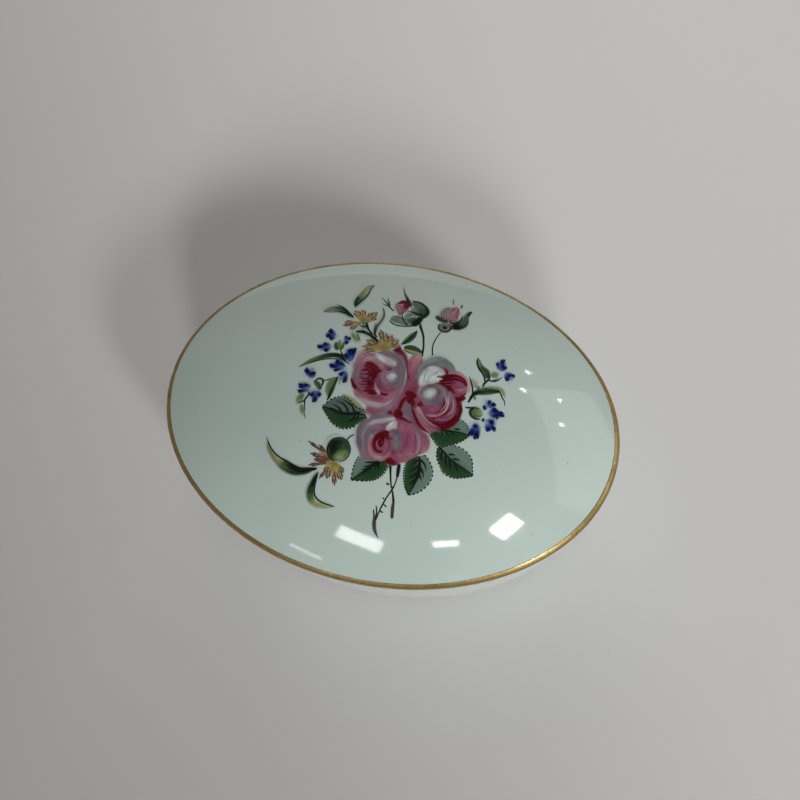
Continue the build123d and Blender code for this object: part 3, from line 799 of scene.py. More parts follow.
roseRight = {
    "lift": 0.060,
    "outline": [(5.2, 5.4), (5.7, 7.4), (6.8, 8.3), (8.1, 8.6), (9.6, 8.0), (10.7, 6.6), (12, 6.2),
                (13.3, 5.3), (13.8, 3.9),
                (13.4, 2.0), (13.2, 0.2), (12.9, -1.5), (11.6, -3.1), (10.3, -4.1), (8.9, -5.1), (7.0, -4.0), (5.6, -2.4),
                (5.6, -0.6), (5.8, 1.0), (5.2, 3.2)],
    "centre": (9, 1.4), "tints": ("deepRose", "rose", "rose"),
    "marks": [
        ([(5.2, 3.6), (5.5, 5.8), (6.8, 7.4), (8.4, 7.8), (9.8, 7.2), (10.6, 6.4)],
         [0.8, 1.4, 1.8, 1.8, 1.5, 0.8],
         ["mist", "smoke", "smoke", "smoke", "smoke", "smoke"], 1, 0.45),
        ([(7.2, 7.9), (8.6, 8.1), (9.9, 7.3)], [0.4, 0.7, 0.4], ["haze", "slate", "haze"], 0.5, 0.9),
        ([(8.3, 6.0), (7.0, 5.2), (6.2, 4.0), (6.1, 2.6)], [1.6, 2.2, 1.9, 1.1],
         ["white", "white", "white", "cream"], 1, 0.6),
        ([(8.9, 5.6), (7.7, 4.9), (7.2, 3.9), (7.3, 3.2)], [1.5, 2.4, 1.9, 0.9],
         ["white", "white", "white", "blush"], 1, 0.6),
        ([(6.5, 6.3), (7.6, 6.2), (8.9, 6.2)], [0.4, 0.9, 0.7], ["white", "white", "cream"], 0.9, 0.8),
        ([(6.3, 3.4), (7.1, 3.7), (8.0, 4.0)], [0.12, 0.25, 0.12], ["haze", "haze", "pink"], 0.5, 0.8),
        ([(5.9, 2.2), (6.0, 1.2), (6.4, 0.3)], [0.7, 0.8, 0.4], ["blush", "blush", "pink"], 0.9, 0.9),
        ([(10.0, 6.1), (11.4, 6.3), (12.8, 5.7), (13.6, 4.6), (13.8, 3.4)], [0.6, 0.8, 0.7, 0.6, 0.4],
         ["pink", "pink", "pink", "blush", "blush"], 0.95, 0.6),
        # the cup
        ([(10.8, 3.2), (11.9, 3.6), (13.0, 3.8)], [1.6, 2.4, 1.6], ["deepRose", "rose", "pink"], 1, 0.6),
        ([(8.6, 4.9), (9.8, 5.2), (11.1, 5.5), (12.4, 5.3), (13.3, 4.4)], [0.25, 0.9, 1.1, 0.9, 0.35],
         ["crimson", "garnet", "garnet", "crimson", "crimson"], 1, 0.35),
        ([(8.3, 3.5), (9.2, 3.7), (10.0, 4.2), (10.5, 4.8)], [0.25, 0.9, 1.7, 1.4],
         ["crimson", "garnet", "garnet", "garnet"], 1, 0.3),
        ([(8.6, 4.2), (9.3, 4.4), (10.0, 4.7)], [0.15, 0.5, 0.7], ["crimson", "garnet", "garnet"], 1, 0.4),
        ([(9.5, 3.5), (10.4, 3.3), (11.4, 3.1)], [0.8, 0.8, 0.2], ["garnet", "garnet", "crimson"], 1, 0.4),
        ([(10.2, 2.9), (11.0, 2.7), (11.7, 2.9)], [0.4, 0.5, 0.12], ["crimson"], 1, 0.5),
        ([(10.4, 4.0), (11.2, 4.4), (12.0, 4.6), (12.7, 4.7)], [0.3, 0.5, 0.35, 0.1],
         ["crimson", "deepRose", "rose", "rose"], 0.85, 0.7),
        ([(10.8, 3.8), (11.5, 3.9), (12.2, 4.1)], [0.15, 0.3, 0.1], ["deepRose", "deepRose", "rose"], 0.7,
         0.8),
        ([(11.6, 3.4), (12.3, 3.4), (13.0, 3.6)], [0.3, 0.5, 0.3], ["pink", "blush", "pink"], 0.6, 0.9),
        ([(13.4, 3.1), (13.0, 2.6), (12.5, 2.5)], [0.25, 0.35, 0.15], ["crimson"], 0.9, 0.5),
        ([(10.8, 2.1), (11.6, 1.7), (12.5, 1.8), (13.4, 2.3)], [0.35, 0.9, 1.0, 0.6],
         ["crimson", "garnet", "garnet", "crimson"], 1, 0.35),
        ([(11.9, 1.6), (12.5, 1.0), (12.9, 0.4)], [0.7, 1.0, 0.8], ["garnet", "garnet", "crimson"], 1, 0.45),
        # the outer ring of shadow, then the arcs inside it
        ([(12.6, 1.1), (12.8, -0.3), (12.3, -1.7), (11.2, -2.8), (9.8, -3.2), (8.4, -2.8), (7.2, -2.1),
          (6.4, -1.2), (6.2, -0.3)],
         [0.8, 1.3, 1.8, 2.0, 1.8, 1.3, 1.0, 0.6, 0.3],
         ["crimson", "garnet", "garnet", "garnet", "garnet", "garnet", "crimson", "crimson",
          "crimson"], 1, 0.35),
        ([(12.5, 0.5), (12.75, -0.4), (12.5, -1.2)], [0.1, 0.3, 0.1], ["deepRose"], 0.7, 0.8),
        ([(10.7, 2.6), (11.6, 1.3), (11.9, -0.2), (11.5, -1.5), (10.5, -2.3), (9.3, -2.6)],
         [0.5, 0.85, 0.85, 0.85, 0.6, 0.2],
         ["lilac", "mist", "mist", "rose", "rose", "rose"], 1, 0.5),
        ([(11.0, 0.9), (11.1, -0.3), (10.6, -1.4), (9.5, -2.2)], [0.2, 0.4, 0.4, 0.15], ["crimson"], 1, 0.5),
        ([(9.7, 2.7), (10.4, 2.0), (10.8, 0.7), (10.7, -0.5), (10.0, -1.5), (8.9, -2.1), (7.9, -2.2)],
         [0.5, 0.7, 0.55, 0.5, 0.5, 0.4, 0.15], ["haze", "mist", "blush", "blush", "pink", "blush",
                                                 "blush"], 1, 0.5),
        ([(9.9, 1.7), (10.4, 0.6), (10.2, -0.5), (9.5, -1.3), (8.7, -1.8)], [0.3, 0.65, 0.8, 0.7, 0.2],
         ["crimson", "garnet", "garnet", "crimson", "crimson"], 1, 0.4),
        ([(9.6, 0.6), (9.4, -0.6), (8.6, -1.3), (7.6, -1.2), (6.9, -0.5)], [0.8, 1.3, 1.5, 1.3, 0.8],
         ["rose"], 0.9, 0.8),
        ([(8.9, 0.0), (8.7, -0.9), (8.0, -1.4)], [0.4, 0.6, 0.3], ["deepRose", "pink", "rose"], 0.6, 0.9),
        ([(6.4, -0.1), (6.6, -0.5), (7.0, -1.0)], [0.2, 0.4, 0.15], ["crimson"], 1, 0.5),
        # the ball of light and its grey ring
        ([(6.2, 1.0), (6.6, 2.3), (7.6, 3.0), (9.0, 3.1), (9.9, 2.4), (9.6, 1.2), (8.7, 0.3), (7.4, 0.1),
          (6.5, 0.5)],
         [0.6, 0.8, 0.7, 0.9, 1.2, 1.3, 1.2, 1.0, 0.6], ["haze", "haze", "slate", "haze", "haze", "slate",
                                                         "slate", "haze", "haze"], 1, 0.6),
        ([(6.6, 1.0), (7.5, 1.5), (8.5, 2.2)], [1.3, 2.0, 1.4], ["haze", "pearl", "haze"], 1, 0.8),
        ([(6.8, 1.3), (7.6, 1.8), (8.4, 2.4)], [0.8, 1.3, 0.8], ["cream", "white", "pearl"], 0.7, 0.8),
        ([(7.0, 0.6), (7.9, 0.8), (8.6, 1.4)], [0.1, 0.3, 0.1], ["slate", "smoke", "haze"], 0.7, 0.7),
        ([(6.4, 1.5), (7.0, 2.4), (8.0, 2.9), (9.0, 2.9)], [0.08, 0.2, 0.2, 0.08],
         ["slate", "slate", "haze", "haze"], 0.7, 0.7),
        # the curled white tip and its dark ticks
        ([(8.4, 6.8), (9.1, 6.7), (9.6, 6.2), (9.7, 5.6)], [0.15, 0.35, 0.5, 0.2],
         ["mist", "deepRose", "crimson", "crimson"], 0.95, 0.6),
        ([(8.1, 5.0), (8.6, 4.9), (9.2, 5.0)], [0.15, 0.3, 0.25], ["crimson", "crimson", "garnet"], 1, 0.5),
        ([(8.2, 5.6), (8.8, 5.6), (9.2, 5.9)], [0.4, 0.7, 0.4], ["white", "cream", "blush"], 0.8, 0.9),
        # fine arcs and hairs
        ([(11.4, 1.8), (11.9, 0.4), (11.6, -0.9), (10.7, -1.8)], [0.06, 0.18, 0.18, 0.06], ["blush"], 0.75,
         0.6),
        ([(12.2, 0.8), (12.4, -0.5), (11.9, -1.8), (10.9, -2.6)], [0.06, 0.18, 0.18, 0.06], ["rose"], 0.7,
         0.6),
        ([(10.1, 2.2), (10.5, 1.1), (10.5, 0.0), (9.9, -1.0)], [0.05, 0.16, 0.16, 0.05], ["cream"], 0.75,
         0.6),
        ([(11.4, 0.9), (11.5, -0.4), (11.0, -1.5), (10.0, -2.3)], [0.05, 0.16, 0.16, 0.05], ["crimson"], 0.8,
         0.6),
        ([(9.9, -2.9), (8.8, -2.7), (7.7, -2.1)], [0.06, 0.22, 0.06], ["rose"], 0.8, 0.6),
        ([(11.6, -2.2), (10.6, -2.9), (9.4, -3.1)], [0.05, 0.16, 0.05], ["deepRose"], 0.8, 0.6),
        ([(9.3, 4.15), (10.2, 4.4), (11.2, 4.9)], [0.05, 0.16, 0.05], ["rose"], 0.8, 0.6),
        ([(9.6, 3.75), (10.6, 3.9), (11.6, 4.0)], [0.05, 0.16, 0.05], ["rose"], 0.8, 0.6),
        ([(10.6, 5.3), (11.6, 5.5), (12.6, 5.1)], [0.05, 0.16, 0.05], ["rose"], 0.75, 0.6),
        ([(11.0, 2.3), (11.8, 2.1), (12.8, 2.3)], [0.05, 0.16, 0.05], ["rose"], 0.75, 0.6),
        ([(11.0, 3.3), (12.0, 3.7), (12.9, 4.3)], [0.08, 0.25, 0.08], ["deepRose"], 0.7, 0.7),
        ([(6.4, 5.6), (6.1, 4.3), (6.3, 3.2)], [0.06, 0.18, 0.06], ["haze"], 0.5, 0.7),
        ([(7.4, 6.2), (6.8, 5.0), (6.9, 3.8)], [0.06, 0.16, 0.06], ["pearl"], 0.8, 0.7),
        ([(8.7, 6.4), (7.9, 5.7), (7.6, 4.8)], [0.06, 0.16, 0.06], ["blush"], 0.6, 0.7),
        ([(8.3, -0.3), (8.9, -0.9), (9.3, -0.4)], [0.1, 0.3, 0.1], ["deepRose"], 0.6, 0.8),
        ([(6.8, -0.8), (7.7, -1.5), (8.8, -1.6)], [0.1, 0.35, 0.1], ["deepRose"], 0.7, 0.8),
        # the petals that fall below
        ([(6.2, -1.2), (7.0, -2.6), (8.3, -3.7), (9.8, -4.1)], [0.6, 1.3, 1.3, 0.9],
         ["blush", "pink", "pink", "rose"], 0.95, 0.6),
        ([(6.6, -2.1), (7.5, -3.1), (8.6, -3.9)], [0.3, 0.6, 0.3], ["haze", "mist", "rose"], 0.7, 0.9),
        ([(8.4, -3.9), (9.6, -4.1), (10.6, -3.8)], [0.3, 0.5, 0.2], ["deepRose", "deepRose", "rose"], 0.6,
         0.8),
        ([(5.2, -1.3), (5.9, -2.6), (6.8, -3.8), (7.8, -4.6), (8.9, -5.1)], [0.15, 0.5, 0.55, 0.5, 0.15],
         ["crimson", "crimson", "garnet", "crimson", "crimson"], 1, 0.4),
        ([(8.0, -4.8), (9.1, -4.8), (10.2, -4.3)], [0.2, 0.4, 0.2], ["deepRose"], 0.6, 0.8),
        ([(6.8, -1.8), (7.7, -2.8), (9.0, -3.5), (10.3, -3.7)], [0.06, 0.18, 0.18, 0.06],
         ["cream", "blush", "blush", "pink"], 0.75, 0.6),
        ([(7.0, -3.0), (8.0, -4.0), (9.2, -4.5)], [0.06, 0.24, 0.06], ["deepRose"], 0.75, 0.6),
        ([(6.0, -1.6), (6.7, -2.9), (7.8, -4.0)], [0.06, 0.2, 0.06], ["mist"], 0.75, 0.6),
    ],
}

roseLow = {
    "lift": 0.095,
    "outline": [(-2.7, -6), (-2.6, -7), (-2.3, -8.4), (-1.8, -9.7), (-1.1, -10.7), (0.2, -11.2), (2.5, -11.1),
                (4.3, -11.3),
                (5.7, -10.8), (7, -9.9), (8.1, -9), (9.2, -8.2), (9.7, -7.1), (9.5, -6.1), (8.8, -5.2), (7.3, -4.6),
                (5.8, -4.0), (4, -3.8), (2.5, -3.6), (0.5, -4.0), (-1.3, -4.8)],
    "centre": (3, -7.6), "tints": ("rose", "rose", "rose"),
    "marks": [
        ([(-1.2, -5.2), (-1.7, -6.7), (-1.4, -8.5), (-0.7, -10.1), (0.8, -10.8)], [1.6, 2.4, 2.4, 1.9, 0.9],
         ["haze", "haze", "slate", "mist", "mist"], 1, 0.4),
        ([(0.2, -5.6), (-0.5, -7.0), (-0.6, -8.6), (0.1, -9.9)], [1.6, 2.2, 1.5, 0.9],
         ["mist", "haze", "haze", "mist"], 1, 0.7),
        ([(-2.2, -6.2), (-2.1, -7.6), (-1.6, -9.2)], [0.3, 0.6, 0.3], ["haze", "haze", "mist"], 0.7, 0.8),
        ([(-1.6, -6.8), (-1.5, -8.0), (-1.0, -9.3)], [0.3, 0.6, 0.3], ["slate", "mist", "mist"], 0.6, 0.9),
        ([(-1.2, -4.7), (0.2, -4.1), (1.7, -3.8), (2.8, -3.8)], [0.7, 1.1, 1.0, 0.5],
         ["haze", "haze", "haze", "mist"], 0.95, 0.7),
        ([(-1.3, -5.9), (-0.1, -5.1), (1.4, -4.5), (2.9, -3.9)], [0.4, 0.8, 0.8, 0.5],
         ["lilac", "cream", "cream", "cream"], 0.95, 0.7),
        ([(-0.9, -6.3), (0.3, -5.7), (1.5, -5.6)], [0.6, 0.9, 0.6], ["mist", "mist", "slate"], 0.9, 0.8),
        ([(1.4, -5.4), (2.1, -4.9), (2.7, -4.4)], [0.3, 0.7, 0.4], ["slate", "mist", "mist"], 0.8, 0.8),
        ([(2.0, -5.9), (2.7, -5.2), (3.2, -4.4)], [0.7, 1.2, 0.8], ["cream", "white", "cream"], 1, 0.6),
        # the right-hand petals
        ([(4.3, -4.6), (4.7, -6.4), (4.9, -8.3), (4.3, -9.9)], [1.0, 2.4, 2.8, 1.6],
         ["pink", "rose", "rose", "rose"], 0.8, 0.9),
        ([(5.4, -4.6), (6.3, -6.0), (6.6, -7.6), (5.9, -9.2)], [0.9, 1.8, 2.0, 1.2],
         ["pink", "rose", "rose", "pink"], 0.8, 0.9),
        ([(5.5, -6.3), (5.9, -7.4), (5.7, -8.6)], [0.4, 0.9, 0.4], ["rose", "deepRose", "rose"], 0.5, 0.9),
        ([(5.7, -4.2), (6.9, -5.2), (7.5, -6.4), (7.7, -7.7), (7.5, -8.7)], [0.5, 0.8, 0.6, 0.5, 0.25],
         ["haze", "mist", "lilac", "lilac", "blush"], 1, 0.6),
        ([(8.3, -5.6), (8.8, -6.6), (8.8, -7.6), (8.3, -8.4)], [0.5, 1.1, 1.1, 0.5],
         ["rose", "pink", "pink", "pink"], 0.9, 0.8),
        ([(8.9, -5.9), (9.1, -6.9), (8.9, -7.9)], [0.2, 0.4, 0.2], ["deepRose", "rose", "rose"], 0.6, 0.8),
        ([(4.6, -9.5), (5.9, -9.5), (7.2, -8.9)], [0.7, 1.1, 0.6], ["pink", "pink", "blush"], 0.8, 0.9),
        ([(4.2, -10.6), (5.2, -10.5), (6.4, -9.9)], [0.4, 0.7, 0.3], ["deepRose", "rose", "pink"], 0.7, 0.8),
        # grey in the hollow of the petal
        ([(2.6, -6.2), (3.4, -6.3), (4.1, -6.9)], [0.9, 1.7, 1.2], ["mist", "slate", "haze"], 1, 0.7),
        ([(3.9, -6.6), (4.1, -7.8), (3.8, -8.9)], [1.1, 1.9, 1.1], ["haze"], 0.95, 0.8),
        ([(3.4, -8.6), (3.9, -9.3), (4.0, -9.9)], [0.5, 1.0, 0.5], ["slate", "deepRose", "rose"], 0.7, 0.9),
        # hairs of grey, pink and deep rose
        ([(-0.9, -5.6), (-1.6, -7.2), (-1.3, -8.9), (-0.4, -10.2)], [0.1, 0.3, 0.3, 0.1],
         ["lilac", "pearl", "lilac", "mist"], 0.55, 0.8),
        ([(-0.2, -6.4), (-0.8, -7.8), (-0.5, -9.2)], [0.1, 0.35, 0.1], ["slate"], 0.7, 0.8),
        ([(-1.9, -5.9), (-2.3, -7.2), (-2.0, -8.7)], [0.1, 0.3, 0.1], ["slate", "mist", "slate"], 0.7, 0.8),
        ([(-0.8, -10.2), (0.3, -10.7), (1.6, -10.9)], [0.1, 0.3, 0.1], ["rose", "mist", "rose"], 0.7, 0.8),
        ([(5.0, -5.2), (5.6, -6.8), (5.5, -8.6)], [0.08, 0.3, 0.08], ["deepRose"], 0.65, 0.7),
        ([(6.1, -5.0), (6.9, -6.3), (7.0, -7.9)], [0.06, 0.22, 0.06], ["deepRose"], 0.6, 0.7),
        ([(4.7, -7.2), (4.9, -8.6), (4.4, -9.8)], [0.06, 0.22, 0.06], ["pink"], 0.6, 0.7),
        ([(8.2, -5.4), (8.6, -6.6), (8.5, -7.8)], [0.06, 0.3, 0.06], ["deepRose"], 0.65, 0.7),
        ([(6.6, -9.3), (7.4, -8.4), (7.9, -7.3)], [0.06, 0.2, 0.06], ["deepRose"], 0.55, 0.7),
        ([(4.9, -9.9), (5.9, -9.7), (6.8, -9.1)], [0.06, 0.22, 0.06], ["deepRose"], 0.6, 0.7),
        # the rolled heart
        ([(-0.1, -7.3), (-0.2, -8.7), (0.4, -10.0), (1.6, -10.6), (2.8, -10.2), (3.1, -9.2)],
         [0.5, 0.7, 0.9, 0.9, 0.8, 0.5],
         ["blush", "pink", "pink", "blush", "pink", "pink"], 1, 0.6),
        ([(2.2, -7.4), (2.7, -8.2), (2.7, -9.2), (2.1, -9.9)], [0.8, 1.2, 1.1, 0.6],
         ["deepRose", "rose", "rose", "rose"], 1, 0.6),
        ([(1.9, -6.7), (1.0, -7.2), (0.5, -8.1), (0.6, -9.1), (1.2, -9.7), (2.1, -9.6)],
         [1.0, 1.0, 0.75, 0.65, 0.55, 0.25],
         ["garnet", "garnet", "garnet", "crimson", "crimson", "crimson"], 1, 0.35),
        ([(1.5, -6.3), (2.0, -6.4), (2.5, -6.3)], [0.3, 0.6, 0.3], ["crimson", "garnet", "crimson"], 1, 0.4),
        ([(1.6, -7.3), (1.5, -8.1), (1.6, -8.9)], [0.9, 1.1, 0.5], ["garnet"], 1, 0.35),
        ([(2.3, -6.7), (2.4, -7.2), (2.4, -7.6)], [0.5, 0.6, 0.2], ["garnet", "crimson", "crimson"], 1, 0.45),
        ([(0.75, -8.0), (0.85, -8.7), (1.2, -9.2)], [0.06, 0.18, 0.06], ["pink", "pink", "rose"], 0.9, 0.6),
        ([(1.7, -7.7), (1.75, -8.1), (1.7, -8.5)], [0.08, 0.25, 0.08], ["deepRose"], 0.8, 0.6),
        ([(2.5, -7.2), (3.0, -7.3), (3.5, -7.2)], [0.3, 0.25, 0.1], ["crimson", "crimson", "deepRose"], 0.95,
         0.5),
        ([(1.15, -7.5), (0.95, -8.4), (1.2, -9.1)], [0.05, 0.16, 0.05], ["rose"], 0.85, 0.6),
        ([(2.0, -7.3), (2.15, -8.2), (1.95, -9.0)], [0.05, 0.16, 0.05], ["rose"], 0.85, 0.6),
        ([(0.15, -7.9), (0.1, -9.0), (0.7, -9.9)], [0.06, 0.22, 0.06], ["rose"], 0.75, 0.7),
        ([(1.1, -10.1), (2.2, -10.3), (3.0, -9.8)], [0.06, 0.22, 0.06], ["deepRose"], 0.7, 0.7),
        # the shaded petal at the foot of the rose
        ([(2.7, -11.1), (3.4, -10.9), (4.3, -11.0), (4.8, -11.0)], [0.3, 0.9, 0.9, 0.3],
         ["crimson", "garnet", "crimson", "deepRose"], 1, 0.4),
        ([(3.0, -10.7), (3.6, -10.5), (4.1, -10.7)], [0.3, 0.6, 0.3], ["crimson", "garnet", "crimson"], 1,
         0.5),
    ],
}


def paintRose(name, c, surface):
    art = newPainting(c["lift"])
    if "outline" in c:
        wash(art, c["outline"], c["centre"], c["tints"], soft=0.08)
    for mark in c["marks"]:
        brush(art, *mark)
    return finishPainting(name, art, surface)


# Leaves: "spine" runs from the stem end to the tip, "light" and "dark" are the edges of its two halves
leaves = {
    "behind": {"lift": 0.004, "light": [(-6.9, -1.1), (-5.5, -1.2), (-4.0, -1.7), (-2.2, -3.0)],
               "spine": [(-6.6, -1.9), (-5.2, -2.3), (-3.9, -3.2),
                         (-2.4, -4.2)], "tints": ("olive", "olive"), "tip": "bare"},
    "left": {"lift": 0.008, "pale": "sageDark",
             "spine": [(-1.8, -4.3), (-3.4, -4.35), (-4.9, -4.6), (-6.6, -4.6), (-8.3, -4.2), (-9.5, -4.2)],
             "light": [(-2.4, -3.5), (-3.9, -3.1), (-5.4, -2.1), (-6.8, -1.9), (-8.3, -2.6), (-9.5, -4.15)],
             "dark": [(-1.6, -4.7), (-2.7, -5.9), (-4.1, -6.9), (-5.8, -7.15), (-7.4, -6.4), (-8.7, -5.1),
                      (-9.5, -4.25)],
             "rib": [0.1, 0.4, 0.6, 0.4, 0.25, 0.1],
             "veins": [[(-3.9, -4.2), (-4.5, -3.2), (-5.4, -2.7), (-6.5, -2.3)],
                       [(-4.9, -4.4), (-5.4, -3.6), (-6.2, -3.0), (-7.3, -2.75)],
                       [(-5.9, -4.5), (-6.4, -4.1), (-7.0, -3.7), (-8.0, -3.45)], [(-4.3, -4.3), (-3.4, -4.1),
                                                                                   (-2.8, -3.85)],
                       [(-6.5, -4.5), (-7.4, -4.3), (-8.2, -4.05)], [(-3.7, -4.6), (-4.0, -5.4),
                                                                     (-4.7, -5.9)],
                       [(-3.1, -4.6), (-3.3, -5.1), (-3.7, -5.6)]]},
    "rightUpper": {"lift": 0.008,
                   "spine": [(10.4, -4.1), (11.6, -3.95), (12.8, -3.85), (14, -3.7), (15.3, -3.8)],
                   "light": [(10.8, -3.2), (12.2, -2.0), (13.4, -1.6), (14.5, -2.1), (15.1, -3.0),
                             (15.4, -3.8)],
                   "dark": [(9.0, -5.2), (10.0, -6.2), (11.0, -6.9), (12.5, -6.3), (14.2, -5.2),
                            (15.4, -3.9)],
                   "rib": [0.4, 0.4, 0.25, 0.15, 0.08],
                   "veins": [[(12.9, -3.4), (13.3, -3.3), (13.8, -3.2)],
                             [(11.4, -4.0), (11.7, -4.4), (12.3, -4.8)],
                             [(10.8, -4.1), (10.9, -4.5), (11.3, -4.8)], [(12.2, -3.9), (12.5, -4.1),
                                                                          (12.9, -4.4)]]},
    "rightLower": {"lift": 0.008,
                   "spine": [(10.95, -6.9), (12.0, -7.6), (13.2, -8.4), (14.9, -9.1), (16.4, -9.6),
                             (17.2, -10.05)],
                   "light": [(11.2, -6.8), (12.6, -6.3), (14.0, -6.1), (15.5, -6.6), (16.6, -7.7),
                             (16.9, -9.0), (17.2, -10.0)],
                   "dark": [(10.7, -7.1), (10.9, -8.6), (11.8, -10.0), (12.5, -10.8), (14.2, -11.15),
                            (15.8, -10.7), (17.2, -10.1)],
                   "rib": [0.35, 0.35, 0.3, 0.25, 0.15, 0.05],
                   "veins": [[(12.8, -7.7), (13.2, -7.55), (13.8, -7.6)],
                             [(13.6, -8.2), (14.1, -8.15), (14.7, -8.2)],
                             [(11.6, -7.5), (11.6, -8.3), (11.8, -9.2)], [(12.3, -7.9), (12.4, -8.8),
                                                                          (12.8, -9.8)],
                             [(13.0, -8.4), (13.2, -9.2), (13.6, -10.1)], [(14.0, -8.9), (14.3, -9.5),
                                                                           (14.8, -10.2)]]},
    "lowLeft": {"lift": 0.008,
                "spine": [(1.7, -11.2), (1.0, -12.1), (0.2, -12.9), (-0.9, -13.8), (-2.1, -14.9)],
                "light": [(0.6, -10.9), (-0.6, -10.7), (-1.4, -10.8), (-1.9, -11.8), (-2.15, -13.2),
                          (-2.1, -14.9)],
                "dark": [(3.4, -10.9), (3.5, -11.6), (3.0, -12.9), (2.0, -14.0), (0.4, -14.6),
                         (-2.1, -14.95)],
                "rib": [0.5, 0.5, 0.4, 0.2, 0.08],
                "veins": [[(1.4, -11.4), (0.6, -11.6), (-0.5, -11.85)],
                          [(1.2, -11.7), (0.4, -12.2), (-0.6, -12.5)],
                          [(0.9, -12.1), (0.1, -12.7), (-0.8, -13.1)], [(0.5, -12.5), (-0.2, -13.2),
                                                                        (-0.9, -13.6)],
                          [(1.7, -11.4), (1.5, -12.0), (1.55, -12.8)], [(1.9, -11.3), (1.9, -11.9),
                                                                        (2.0, -12.6)]]},
    "lowRight": {"lift": 0.008,
                 "spine": [(8.1, -9.0), (8.4, -10.3), (8.55, -11.8), (8.2, -13.4), (7.6, -15.4)],
                 "light": [(8.9, -8.6), (9.9, -9.5), (10.7, -10.8), (10.7, -12.3), (9.9, -13.8), (8.8, -14.8),
                           (7.6, -15.35)],
                 "dark": [(7.6, -9.3), (6.4, -10.2), (6.1, -11.5), (6.3, -12.9), (6.8, -14.3), (7.6, -15.4)],
                 "rib": [0.2, 0.5, 0.6, 0.35, 0.05],
                 "veins": [[(8.3, -9.5), (9.2, -10.1), (9.7, -11.2)],
                           [(8.5, -10.5), (9.1, -11.3), (9.5, -12.3)],
                           [(8.5, -11.6), (8.9, -12.1), (9.2, -12.8)], [(8.4, -10.4), (7.7, -11.2),
                                                                        (7.0, -11.8)],
                           [(8.4, -11.5), (7.8, -12.3), (7.1, -12.9)], [(8.3, -12.6), (7.8, -13.3),
                                                                        (7.3, -13.8)],
                           [(8.2, -9.6), (7.6, -10.1), (7.1, -10.7)]]},
}


def paintLeaf(art, c):
    art["lift"] = c["lift"]
    tints = c.get("tints", ("sageDark", "leaf"))
    if "dark" not in c:
        between(art, c["spine"], c["light"], [(tints[0], tints[1], c["tip"])], 1, 0.5)
        return
    pale = c.get("pale", "sage")
    between(art, c["spine"], c["light"], [(pale, pale, pale), ("sageDark", pale, pale), (pale, pale, pale)],
            1, 0.04, 9, 0.05)
    between(art, c["spine"], c["dark"],
            [("sageDark", "leaf", "fern"), ("leaf", "leaf", "fern"), ("leaf", "fern", "leaf")],
            1, 0.04, 12, 0.06)
    # drier streaks of lighter green over the dark half
    for i in range(7):
        t = 0.14 + 0.11 * i
        root, edge = curveThrough(c["spine"], t), curveThrough(c["dark"], min(t + 0.1, 0.95))
        brush(art, [tuple(root.lerp(edge, 0.25)), tuple(root.lerp(edge, 0.9))], [0.1, 0.3, 0.1],
              ["fern", "leaf"], 0.5, 0.8)
    # a broken dark outline, pressed harder round the dark half
    for side, dashes, heavy in (("light", 13, 0.27), ("dark", 17, 0.3)):
        for i in range(dashes):
            ends = [curveThrough(c[side], (i + k) / dashes) for k in (0.08, 0.5, 0.84)]
            brush(art, [tuple(p) for p in ends], [0.08, heavy, 0.08], ["ink"], 1, 0.3)
    for vein in c["veins"]:
        brush(art, vein, [0.38, 0.32, 0.07], ["ink"], 1, 0.3)
    brush(art, c["spine"], c["rib"], ["ink"], 1, 0.25)


def paintLeaves(surface):
    art = newPainting(0.004)
    for c in leaves.values():
        paintLeaf(art, c)
    return finishPainting("rose_leaves", art, surface)


stems = {
    "lift": 0.006,
    "marks": [
        ([(3.7, -11.0), (4.1, -12.8), (4.5, -14.3), (4.9, -15.2), (5.3, -16.4), (5.5, -17.2)],
         [0.68, 0.34, 0.27, 0.3, 0.41, 0.54], ["ink"]),
        ([(5.4, -16.9), (5.5, -18.0), (5.65, -19.3)], [0.4, 0.62, 0.52],
         [("ink", "ink", "umber", "ink", "ink")], 1, 0.25),
        ([(5.1, -10.8), (5.2, -11.8), (5.25, -13.0)], [0.61, 0.68, 0.47], ["ink"], 1, 0.3),
        ([(5.25, -13.0), (5.15, -14.0), (4.8, -15.1), (4.2, -16.4), (3.7, -17.8), (3.4, -18.9), (3.1, -20.1)],
         [0.22, 0.22, 0.28, 0.25, 0.3, 0.25, 0.3], ["ink"]),
        ([(2.85, -19.8), (2.95, -20.8), (3.25, -21.7), (3.8, -22.5)], [0.5, 0.7, 0.6, 0.15],
         [("ink", "ink", "umber", "ink", "ink")], 1, 0.25),
        ([(3.5, -22.0), (3.8, -22.4), (4.0, -22.8)], [0.2, 0.22, 0.05], ["ink"]),
        ([(3.7, -14.3), (3.95, -14.35), (4.3, -14.4)], [0.16, 0.38, 0.11], ["ink"]),
        ([(3.65, -16.65), (3.8, -16.7)], [0.3, 0.3], ["ink"]),
        ([(3.9, -17.5), (4.2, -17.7), (4.5, -17.85)], [0.14, 0.27, 0.14], ["ink"]),
        ([(3.5, -18.6), (3.8, -18.75), (4.1, -18.75)], [0.2, 0.27, 0.11], ["ink"]),
        ([(2.7, -17.9), (2.95, -18.5), (3.05, -19.2), (2.9, -19.9)], [0.11, 0.27, 0.27, 0.27], ["ink"]),
        ([(2.4, -18.6), (2.6, -19.1), (2.75, -19.9)], [0.14, 0.3, 0.27], ["ink"]),
    ],
}

